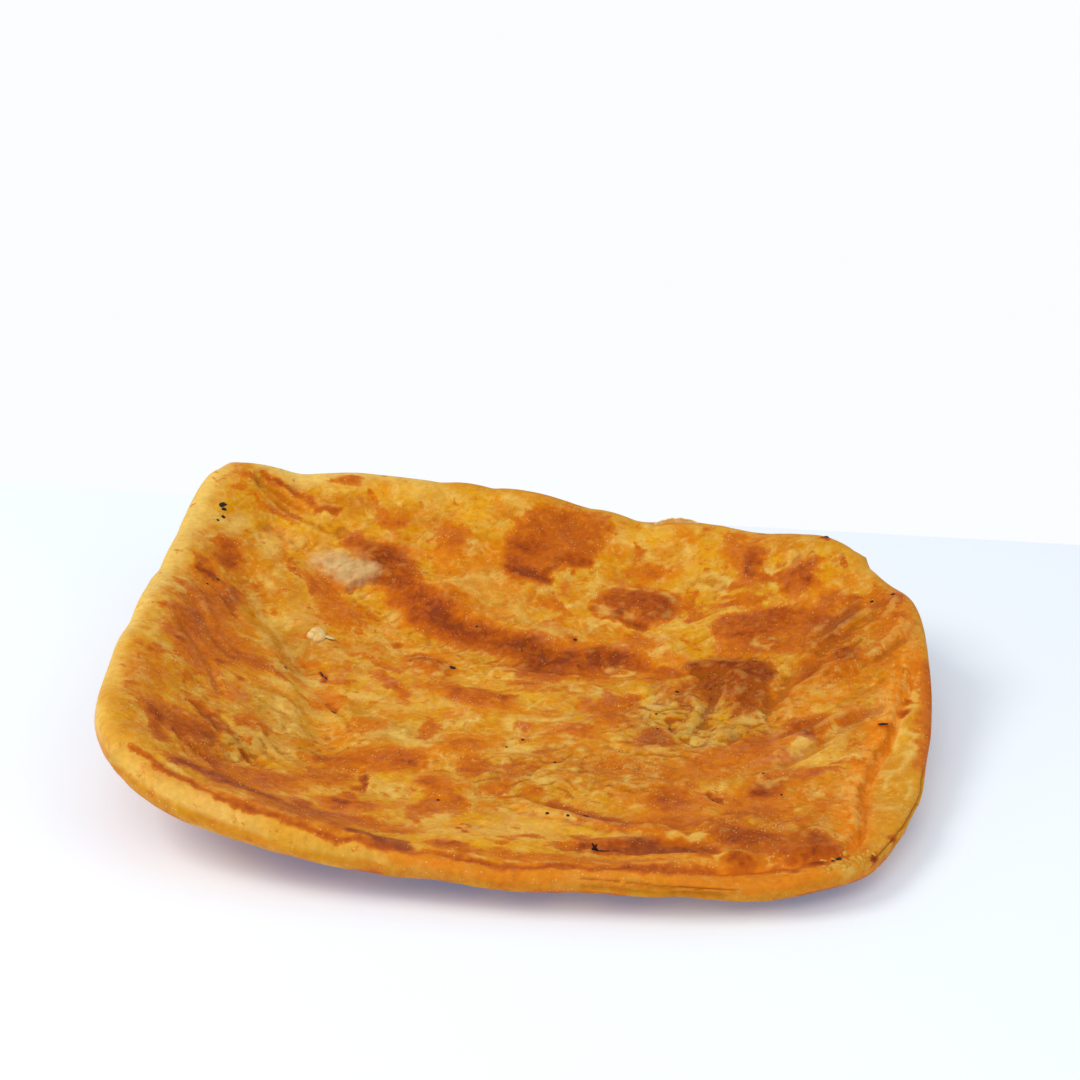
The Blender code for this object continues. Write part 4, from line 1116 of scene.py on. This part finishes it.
crustNoises = {  # size in millimetres, detail, roughness, distortion
    "broad": (26, 4, 0.6, 0.4), "patchy": (12, 4, 0.58, 0.6), "gilded": (9, 3, 0.55, 0.4),
    "clots": (7.0, 3, 0.55, 0.5), "middling": (5.0, 3, 0.55), "wisps": (3.4, 4, 0.68, 1.6),
    "nodules": (2.6, 3, 0.55, 0.3), "small": (1.5, 2, 0.5), "paintedSheen": (10, 4, 0.66, 0.8),
    "finePaintedSheen": (1.9, 4, 0.72, 0.6),
}
toastLevels = [  # from and to which share of toasting the colour comes in
    (0.03, 0.24, "toastHalo"), (0.20, 0.48, "toastLight"), (0.44, 0.80, "toast"), (0.78, 1.04, "toastDark"),
]
# Emission Strength sets the painted glow at the top layer's cut edge
crustShader = {
    "Emission Strength": 0.14, "Specular IOR Level": 0.045, "Specular Tint": (1.0, 0.8, 0.5, 1),
    "Subsurface Weight": 0.14, "Subsurface Radius": (1.0, 0.45, 0.12), "Subsurface Scale": 0.0018,
}


def crustMaterial(groups):
    # crust as layers of colour, each mixed in by its mask, from the dough up to the grains
    material, shader = makeMaterial("brownedCrust", crustColours["golden"], 0.45)
    tree = material.node_tree
    place = addNode(tree, "ShaderNodeTexCoord").outputs["Object"]

    def ramp(*values):
        return rampOf(tree, *values)

    def times(mask, *others):
        for other in others:
            mask = mathOf(tree, "MULTIPLY", mask, other)
        return mask

    def band(value, start, full, fade, end):
        return times(ramp(value, start, full), ramp(value, fade, end, 1.0, 0.0))

    def add(first, second, clamp=False):
        return mathOf(tree, "ADD", first, second, clamp)

    def rest(mask, share, clamp=True):
        return mathOf(tree, "SUBTRACT", 1.0, times(mask, share), clamp)

    def uneven(mask, amount=0.22, coarse=200.0, fine=700.0):
        given = {"Place": place, "Mask": mask, "Coarse": coarse, "Fine": fine, "Amount": amount}
        return useGroup(tree, groups["uneven"], **given)[0]

    def paint(colour, layers):
        for mask, name in layers:
            colour = mixOf(tree, mask, colour, crustColours[name] if isinstance(name, str) else name)
        return colour

    def shaded(colour, value):
        grey = addNode(tree, "ShaderNodeCombineColor", i0=value, i1=value, i2=value).outputs[0]
        return mixOf(tree, 1.0, colour, grey, "MULTIPLY")

    noise = {name: noiseOf(tree, place, *values) for name, values in crustNoises.items()}
    patchy, clots, nodules, wisps, middling = (
        noise[name] for name in ("patchy", "clots", "nodules", "wisps", "middling")
    )
    names = (*crustMarks, "crumpled", "edge", "edgeEnds", "lip", "gap", "rim", "ridge", "calm")
    field = {name: fieldOf(tree, name) for name in names}
    crumpled, toasted, calm = field["crumpled"], field["toast"], field["calm"]
    edge, ends = field["edge"], field["edgeEnds"]
    # mask of the cut edge's orange, partly painted light
    lip = times(band(edge, -7.0, -1.0, 1.0, 1.6), field["lip"])
    # painted glow along the top layer's cut edge, fed to the emission
    glow = times(band(edge, -0.6, 0.5, 1.2, 2.4), ends)
    lively = rest(mathOf(tree, "MAXIMUM", calm, field["pale"]), 0.75, False)
    plain = times(rest(toasted, 1.2), lively)
    lumpy = times(ramp(nodules, 0.50, 0.72, 0.0, 0.5), ramp(crumpled, 0.0, 0.8, 0.45, 1.0))
    cream = add(times(ramp(clots, 0.46, 0.76, 0.0, 0.75), plain), times(lumpy, plain), True)
    cream = add(cream, times(ramp(wisps, 0.52, 0.72, 0.0, 0.55), plain), True)
    vein = useGroup(tree, groups["vein"], Place=place, Scale=95.0, Width=0.030)[0]
    toast = add(toasted, times(ramp(patchy, 0.53, 0.70, 0.0, 0.32), plain))
    toast = times(toast, ramp(middling, 0.30, 0.68, 0.76, 1.26), ramp(wisps, 0.66, 0.36, 0.84, 1.12))
    toast = uneven(add(toast, ramp(nodules, 0.44, 0.30, 0.0, 0.16)), 0.14, 230.0, 800.0)
    # painted sheen: a bluish-white film added to the colour stands in for the oil's reflection of the pale
    # surroundings; the smooth rim carries it evenly
    paintedSheen = add(ramp(noise["paintedSheen"], 0.49, 0.72, 0.0, 0.55), ramp(noise["finePaintedSheen"], 0.49, 0.70, 0.0, 0.6))
    paintedSheen = add(times(paintedSheen, rest(calm, 0.7, False)), times(calm, 0.26))
    paintedSheen = times(paintedSheen, times(ramp(lip, 0.0, 1.0, 1.0, 0.1), ramp(toasted, 0.1, 0.7, 1.0, 0.55)))
    flakes = useGroup(tree, groups["flakes"], Place=place, Scale=190.0, Warp=0.005, Width=0.05)
    flakeEdges = times(flakes[0], ramp(crumpled, 0.05, 0.7, 0.03, 0.6), ramp(middling, 0.42, 0.58))
    flakeEdges = times(flakeEdges, rest(toasted, 1.5))
    crest = ramp(field["ridge"], 0.25, 0.95, 0.0, 0.38)
    grain = useGroup(tree, groups["grain"], Place=place, Scale=1300.0, Share=0.26)[0]
    lowerLayer = mixOf(tree, ramp(patchy, 0.42, 0.60), crustColours["layer"], crustColours["golden"])
    flour = mixOf(tree, ramp(nodules, 0.34, 0.52, 0.6, 1.0), crustColours["olive"], crustColours["flour"])

    colour = mixOf(tree, ramp(noise["broad"], 0.42, 0.62), crustColours["golden"], crustColours["goldenDeep"])
    colour = paint(colour, [
        (ramp(noise["gilded"], 0.50, 0.64, 0.0, 0.7), "goldenYellow"),
        (times(ramp(patchy, 0.52, 0.38, 0.0, 0.85), lively), "orange"),
        (times(uneven(field["olive"]), 0.75), "olive"),
        (times(ramp(edge, 0.8, 1.5), ends, 0.85), lowerLayer),
        (times(uneven(field["orange"]), 0.9), "orange"),
        (times(uneven(field["yellow"]), 0.9), "yellow"),
        # the cut edge's orange, painted brighter: partly painted light
        (times(lip, 0.85), "lip"),
        (times(ramp(wisps, 0.48, 0.32, 0.0, 0.55), plain), "toastHalo"),
        (cream, "cream"),
        (times(uneven(field["pale"], 0.16), 0.95), "pale"),
        (times(vein, ramp(patchy, 0.44, 0.60, 0.0, 0.2), plain), "cream"),
        *((ramp(toast, low, high), name) for low, high, name in toastLevels),
        (times(uneven(field["mauve"]), 0.55), "mauve"),
        # painted shade: hollows of the relief darkened where the dough is crumpled
        (times(ramp(field["ridge"], -0.15, -0.9, 0.0, 0.8), ramp(crumpled, 0.0, 0.8, 0.65, 1.0)), "paintedCreaseShade"),
        (times(crest, ramp(nodules, 0.34, 0.56, 0.1, 1.0), rest(toasted, 0.7)), "cream"),
    ])
    # painted sheen, stronger at its listed spots, added to the colour
    paintedSheen = times(paintedSheen, ramp(field["paintedSheenSpots"], 0.0, 1.0, 0.55, 1.4))
    colour = mixOf(tree, paintedSheen, colour, crustColours["paintedSheen"], "ADD")
    grainy = times(ramp(clots, 0.38, 0.60, 0.12, 0.7), ramp(toasted, 0.2, 0.8, 1.0, 0.4))
    colour = paint(colour, [
        (flakeEdges, "cream"),
        (times(field["rim"], 0.8), "cream"),
        (times(uneven(field["flour"], 0.4, 300.0), ramp(wisps, 0.34, 0.50, 0.6, 1.0)), flour),
        (times(grain, grainy), "grain"),
        # painted shade: a thin dark line in the crevice at the foot of the top layer's cut edge
        (times(band(edge, 0.8, 1.2, 1.3, 1.8), ends, 0.25), "paintedCreaseShade"),
        # painted shade: the groove where the layers part is coloured darker brown
        (times(field["gap"], 0.8), "gap"),
    ])
    # painted shade: the crumpled dough is darkened overall, standing for the shade among its creases
    colour = shaded(colour, ramp(crumpled, 0.1, 0.9, 1.0, 0.86))
    colour = shaded(colour, ramp(noise["small"], 0.3, 0.7, 0.93, 1.06))
    rough = add(ramp(middling, 0.35, 0.65, 0.36, 0.52), times(field["flour"], 0.3))
    relief = add(times(middling, 0.50), times(noise["small"], 0.12))
    relief = add(relief, times(nodules, ramp(crumpled, 0.0, 0.8, 0.15, 0.9)))
    relief = add(relief, times(flakes[1], 0.5, ramp(crumpled, 0.05, 0.8, 0.08, 1.0)))
    relief = add(relief, add(times(grain, 0.10), times(flakeEdges, 0.12)))
    relief = add(relief, times(cream, 0.16))
    bump = addNode(tree, "ShaderNodeBump", Height=relief, Distance=0.0010, Strength=0.6).outputs[0]
    light = mixOf(tree, glow, (0.0, 0.0, 0.0), crustColours["glow"])
    results = {"Base Color": colour, "Emission Color": light, "Roughness": rough, "Normal": bump}
    for name, value in results.items():
        tree.links.new(value, shader.inputs[name])
    for name, value in crustShader.items():
        shader.inputs[name].default_value = value
    return material


plainShader = {
    "Specular IOR Level": 0.2, "Subsurface Weight": 0.15, "Subsurface Radius": (1.0, 0.6, 0.3),
    "Subsurface Scale": 0.001,
}


def plainMaterial(name, settings):
    # one colour mottled towards a darker one
    material, shader = makeMaterial(name, settings["colour"], settings.get("roughness", 0.5))
    tree = material.node_tree
    place = addNode(tree, "ShaderNodeTexCoord").outputs["Object"]
    mottle = noiseOf(tree, place, settings.get("mottle", 1.2), 3, 0.6)
    colour = mixOf(tree, rampOf(tree, mottle, 0.40, 0.62), settings["colour"], settings["darker"])
    tree.links.new(colour, shader.inputs["Base Color"])
    for name, value in plainShader.items():
        shader.inputs[name].default_value = value
    return material


def ballShape(finer):
    # an icosahedron's corners and faces, each face split in four when finer
    golden = (1 + 5**0.5) / 2
    corners = [(a, b * golden, 0) for a in (-1, 1) for b in (-1, 1)]
    corners = np.array(corners + [(0, a, b) for a, b, _ in corners] + [(b, 0, a) for a, b, _ in corners])
    corners = corners / np.linalg.norm(corners[0])
    triples = np.array(list(itertools.combinations(range(12), 3)))
    pairs = ([0, 1], [1, 2], [0, 2])
    sides = [np.linalg.norm(corners[triples[:, a]] - corners[triples[:, b]], axis=1) for a, b in pairs]
    faces = triples[np.all(np.array(sides) < 1.1, axis=0)]
    if finer:
        ends = np.concatenate([np.sort(faces[:, pair], axis=1) for pair in pairs])
        edges, number = np.unique(ends, axis=0, return_inverse=True)
        middles = corners[edges].mean(1)
        first, second, third = number.ravel().reshape(3, -1) + len(corners)
        corners = np.concatenate([corners, middles / np.linalg.norm(middles, axis=1, keepdims=True)])
        a, b, c = faces.T
        split = ((a, first, third), (b, second, first), (c, third, second), (first, second, third))
        faces = np.concatenate([np.stack(three, 1) for three in split])
    one, two, three = (corners[faces[:, k]] for k in range(3))
    inward = np.einsum("ij,ij->i", np.cross(two - one, three - one), one) < 0
    faces[inward] = faces[inward][:, ::-1]
    return corners, faces


def standOn(normals, spin):
    # three axes for each place: two along the surface, turned by the spin, and its normal
    side = np.cross(normals, [0.0, 1.0, 0.0])
    side /= np.linalg.norm(side, axis=1, keepdims=True)
    ahead = np.cross(normals, side)
    c, s = np.cos(spin)[:, None], np.sin(spin)[:, None]
    return np.stack([side * c + ahead * s, ahead * c - side * s, normals], 1)


def unevenBalls(draw, finer, settings, number):
    # copies of the ball whose corners stand in or out by a drawn share, and their faces
    corners, faces = ballShape(finer)
    return corners * draw.uniform(*settings["spread"], (number, len(corners), 1)), faces


def placeCopies(corners, axes, sizes, centres):
    # corners (copies, points, 3) scaled by sizes, turned to axes and moved to centres
    return np.einsum("npk,nkj->npj", corners * sizes[:, None, :], axes) + centres[:, None, :]


def joinCopies(name, copies, faces, settings):
    # one mesh of copies (copies, points, 3) in millimetres that share their faces
    count, size = copies.shape[:2]
    low, high = np.array(cadLow) / mm, np.array(cadHigh) / mm
    points = np.clip(copies.reshape(-1, 3), low + boxInset, high - boxInset) * mm
    lengths = np.array([len(face) for face in faces])
    loops = (np.concatenate([np.array(face) for face in faces]) + size * np.arange(count)[:, None]).ravel()
    starts = np.concatenate([[0], np.cumsum(np.tile(lengths, count))[:-1]])
    mesh = bpy.data.meshes.new(name)
    mesh.vertices.add(len(points))
    mesh.vertices.foreach_set("co", points.ravel())
    mesh.loops.add(len(loops))
    mesh.loops.foreach_set("vertex_index", loops)
    mesh.polygons.add(len(starts))
    mesh.polygons.foreach_set("loop_start", starts)
    mesh.update(calc_edges=True)
    mesh.shade_smooth()
    mesh.materials.append(plainMaterial(settings["material"], settings))
    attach(addObject(name, mesh), "root")


def scatterPlaces(surface, draw, weights, number):
    # drawn places on the top, as likely as the weights, and the normals there
    points, normals, count = surface
    index = draw.choice(len(weights), number, p=weights / weights.sum())
    row, column = np.minimum(np.divmod(index, count), count - 2)
    a, b = draw.uniform(0, 1, (2, number, 1))
    start = row * count + column
    near = points[start] * (1 - a) + points[start + 1] * a
    far = points[start + count] * (1 - a) + points[start + count + 1] * a
    return near * (1 - b) + far * b, normals[index]


def nearestPlaces(surface, x, y, listed):
    # the top's nearest vertices to listed places in plan, and the normals there
    points, normals, _ = surface
    index = [int(np.argmin((x - a) ** 2 + (y - b) ** 2)) for a, b in listed]
    return points[index], normals[index]


grainSettings = {
    "material": "semolina", "colour": (0.80, 0.48, 0.15), "darker": (0.74, 0.38, 0.07),
    "number": 1300, "radius": (0.07, 0.16), "spread": (0.8, 1.15), "seed": 101, "patches": (14.0, 103, 2),
}


def makeGrains(surface, x, turn, crumpled):
    # semolina stuck to the crust, more of it at the left and where the dough is crumpled
    draw = np.random.default_rng(grainSettings["seed"])
    patchy = smoothStep(-0.4, 0.6, doughNoise(surface[0], *grainSettings["patches"]))
    weights = (0.5 + patchy) * (1 - smoothStep(0.5, 1.3, turn))
    weights = weights * (0.5 + 1.1 * smoothStep(20, -85, x) + 0.5 * crumpled)
    centres, normals = scatterPlaces(surface, draw, weights, grainSettings["number"])
    number = len(centres)
    balls, faces = unevenBalls(draw, False, grainSettings, number)
    sizes = draw.uniform(*grainSettings["radius"], (number, 1)) * draw.uniform(0.8, 1.2, (number, 3))
    axes = standOn(normals, draw.uniform(0, 2 * np.pi, number))
    grains = placeCopies(balls, axes, sizes, centres + 0.25 * sizes[:, 2:] * normals)
    joinCopies("semolinaGrains", grains, faces, grainSettings)


speckSettings = {
    "material": "scorched", "colour": (0.030, 0.014, 0.010), "darker": (0.014, 0.010, 0.012),
    "roughness": 0.6, "spread": (0.72, 1.2), "seed": 107,
    "specks": [  # x, y, half length, half width, turn in degrees
        (-91.1, 58.1, 1.15, 0.85, 60), (-90.3, 57, 0.7, 0.6, 10), (-90.1, 54.2, 0.62, 0.55, 0),
        (-91.4, 52.3, 0.42, 0.36, 0), (-21.6, 17.3, 0.85, 0.62, 5), (-60.6, 3, 0.75, 0.28, -20),
        (-52.6, 7.6, 1.5, 0.24, -62), (-51.6, 5.4, 0.9, 0.2, -50), (1.6, -19.2, 0.4, 0.36, 0),
        (-2, -23, 0.34, 0.3, 0), (10.3, -29.2, 0.32, 0.3, 0), (31.6, -2.9, 0.34, 0.3, 0),
        (34.8, -9, 0.36, 0.32, 0), (32.3, -10.3, 0.3, 0.26, 0), (35, 8.9, 0.45, 0.4, 0),
        (7.3, 30.9, 0.5, 0.42, 0), (-12.7, -49.7, 0.45, 0.4, 0), (20.6, -52.1, 0.75, 0.4, 0),
        (11.9, -52.1, 0.4, 0.36, 0), (16.4, -53, 0.38, 0.34, 0), (75.1, -65.8, 0.8, 0.55, 20),
        (74, -66.3, 0.5, 0.35, 0), (81.4, 39.4, 0.45, 0.4, 0), (86.4, 40.1, 0.55, 0.4, 0),
        # the thin specks at (47.2, -41.2) and (48.6, -42.6) are dark slivers in that crack's mouth: painted
        # shade
        (84.6, -9.2, 1.2, 0.4, 8), (69.6, 61.5, 0.7, 0.5, 0), (47.2, -41.2, 1.3, 0.3, -48),
        (48.6, -42.6, 0.7, 0.22, -20), (-45.9, -9.2, 1.1, 0.16, -30), (-86.5, 25.4, 0.4, 0.35, 0),
        (-84.7, 28.4, 0.6, 0.35, -30), (57.9, -30.5, 0.3, 0.3, 0), (62.4, -38.8, 0.3, 0.28, 0),
        (-18, 33, 0.3, 0.28, 0),
    ],
    "starPlace": (24.3, -69.5),
    "starStrokes": [  # from its place: across, up, half length, half width, turn in degrees from level
        (0, 0.85, 1.15, 0.27, 52), (0.1, 0.85, 1.15, 0.27, 126),
        (0, 0.5, 0.5, 0.42, 0), (1.2, 0.1, 2, 0.14, 2),
    ],
}


def makeSpecks(surface, x, y):
    # scorched specks that lie along their headings, and one star-shaped scorched crumb that stands up
    listed = np.array(speckSettings["specks"])
    centres, normals = nearestPlaces(surface, x, y, listed[:, :2])
    sizes = np.concatenate([listed[:, 2:4], np.clip(0.45 * listed[:, 3:4], 0.12, 0.3)], 1)
    heading = np.radians(listed[:, 4])
    aim = np.stack([np.cos(heading), np.sin(heading), 0 * heading], 1)
    level = np.einsum("ij,ikj->ki", aim, standOn(normals, 0 * heading))
    axes = standOn(normals, np.arctan2(level[1], level[0]))
    across, up, halfLength, halfWidth, turn = np.array(speckSettings["starStrokes"]).T
    foot, _ = nearestPlaces(surface, x, y, [speckSettings["starPlace"]])
    starCentres = foot + np.stack([across, 0 * across - 0.3, up], 1)
    starSizes = np.stack([halfLength, halfWidth, 0.8 * halfWidth], 1)
    c, s, none = np.cos(np.radians(turn)), np.sin(np.radians(turn)), 0 * turn
    rows = (c, none, s), (-s, none, c), (none, none - 1, none)
    starAxes = np.stack([np.stack(row, 1) for row in rows], 1)
    centres = np.concatenate([centres + 0.05 * normals, starCentres])
    sizes, axes = np.concatenate([sizes, starSizes]), np.concatenate([axes, starAxes])
    draw = np.random.default_rng(speckSettings["seed"])
    balls, faces = unevenBalls(draw, True, speckSettings, len(centres))
    joinCopies("charSpecks", placeCopies(balls, axes, sizes, centres), faces, speckSettings)


lumpSettings = {
    "material": "paleDough", "colour": (0.82, 0.60, 0.26), "darker": (0.74, 0.46, 0.14), "mottle": 2.0,
    "spread": (0.92, 1.06), "seed": 113,
    "balls": [  # x, y, half length, half width, height, turn in degrees
        (-57.5, 22.6, 2.3, 2.2, 1, 10), (-56.6, 20.8, 2.1, 1.7, 1, 60), (-58.4, 21.2, 1.4, 1.5, 0.8, 0),
        (-54.4, 22.2, 2, 1.6, 0.3, 0),
    ],
}


def makeLumps(surface, x, y):
    # one pale lump of dough, of a few balls
    listed = np.array(lumpSettings["balls"])
    centres, normals = nearestPlaces(surface, x, y, listed[:, :2])
    draw = np.random.default_rng(lumpSettings["seed"])
    balls, faces = unevenBalls(draw, True, lumpSettings, len(listed))
    axes = standOn(normals, np.radians(listed[:, 5]))
    lump = placeCopies(balls, axes, listed[:, 2:5], centres + 0.2 * normals)
    joinCopies("paleLump", lump, faces, lumpSettings)


crumbSettings = {
    "material": "crumbs", "colour": (0.72, 0.35, 0.030), "darker": (0.60, 0.22, 0.010),
    "roughness": 0.6, "mottle": 1.4,
    "places": [(80.5, -64.5, 3.2), (77.5, -67.5, 3.0), (83.5, -60.5, 2.4), (73.5, -69.5, 2.2)],  # x, y, reach
    "number": 80, "radius": (0.35, 0.9), "shares": (1, 1, 0.55), "spread": (0.75, 1.2), "seed": 137,
}


def makeCrumbs(surface, x, y, turn):
    # crumbs where the corner of the top layer has broken
    draw = np.random.default_rng(crumbSettings["seed"])
    places = crumbSettings["places"]
    weights = sum(np.exp(-((x - a) ** 2 + (y - b) ** 2) / reach**2) for a, b, reach in places)
    number = crumbSettings["number"]
    centres, normals = scatterPlaces(surface, draw, weights * (turn < 0.9) + tiny, number)
    balls, faces = unevenBalls(draw, False, crumbSettings, number)
    sizes = draw.uniform(*crumbSettings["radius"], (number, 1)) * draw.uniform(0.7, 1.2, (number, 3))
    axes = standOn(normals, draw.uniform(0, 2 * np.pi, number))
    crumbs = placeCopies(balls, axes, sizes * crumbSettings["shares"], centres - 0.1 * normals)
    joinCopies("cornerCrumbs", crumbs, faces, crumbSettings)


backFlakeSettings = {
    # the flake's pale colour is painted paler still, in place of light coming through it: partly painted
    # light
    "material": "standingFlake", "colour": (0.92, 0.74, 0.42), "darker": (0.84, 0.56, 0.18), "mottle": 3.0,
    "start": (23.0, 74.6), "run": (12.5, -1.2), "tall": 1.9, "halfThickness": 0.22, "lean": 0.45,
    "steps": 40, "seed": 139,
    "section": (  # up, across
        (-0.3, -1), (0.35, -1), (0.75, -1), (1, -0.5), (1, 0.5), (0.75, 1), (0.35, 1), (-0.3, 1),
    ),
}


def makeBackFlake(surface, x, y):
    # a thin flake that stands up along the back rim: a strip whose height fades at both ends
    def smoothed(values, width):
        return np.convolve(np.pad(values, width // 2, "edge"), np.ones(width) / width, "valid")

    steps, section = backFlakeSettings["steps"], backFlakeSettings["section"]
    along = np.linspace(0, 1, steps)
    line = np.array(backFlakeSettings["start"]) + along[:, None] * backFlakeSettings["run"]
    line[:, 1] += 0.25 * np.sin(9 * along)
    foot, _ = nearestPlaces(surface, x, y, line)
    foot = np.stack([smoothed(column, 7) for column in foot.T], 1)
    uneven = smoothed(np.random.default_rng(backFlakeSettings["seed"]).uniform(0.75, 1.15, steps), 3)
    tall = backFlakeSettings["tall"] * np.sin(np.pi * along) ** 0.7 * uneven + 0.05
    thick, lean = backFlakeSettings["halfThickness"], backFlakeSettings["lean"]
    rows = [np.stack([0 * tall, side * thick - lean * tall * up**2, tall * up], 1) for up, side in section]
    points = (foot + np.array(rows)).transpose(1, 0, 2)  # along, round
    count = len(rows)
    around = np.arange(count)
    after = (around + 1) % count
    faces = []
    for start in range(0, (steps - 1) * count, count):
        faces += (start + np.stack([around, around + count, after + count, after], 1)).tolist()
    faces += [around.tolist(), ((steps - 1) * count + around)[::-1].tolist()]
    joinCopies("backFlake", points.reshape(1, -1, 3), faces, backFlakeSettings)


makeStage()
makeLights()
makeCamera()
print("stage ready")
body, topPoints, topFields, topX, topY, topTurn = makeBread()
print("bread body:", len(body.data.polygons), "faces")
groups = {"uneven": unevenGroup(), "grain": grainGroup(), "vein": veinGroup(), "flakes": flakeGroup()}
body.data.materials.append(crustMaterial(groups))
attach(body, "root")
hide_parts("msemen")
topCount = 2 * bodySettings["topRings"] + 1
surface = (topPoints, gridNormals(topPoints, topCount), topCount)
makeGrains(surface, topX, topTurn, topFields["crumpled"])
makeSpecks(surface, topX, topY)
makeLumps(surface, topX, topY)
makeCrumbs(surface, topX, topY, topTurn)
makeBackFlake(surface, topX, topY)
print("small things ready")
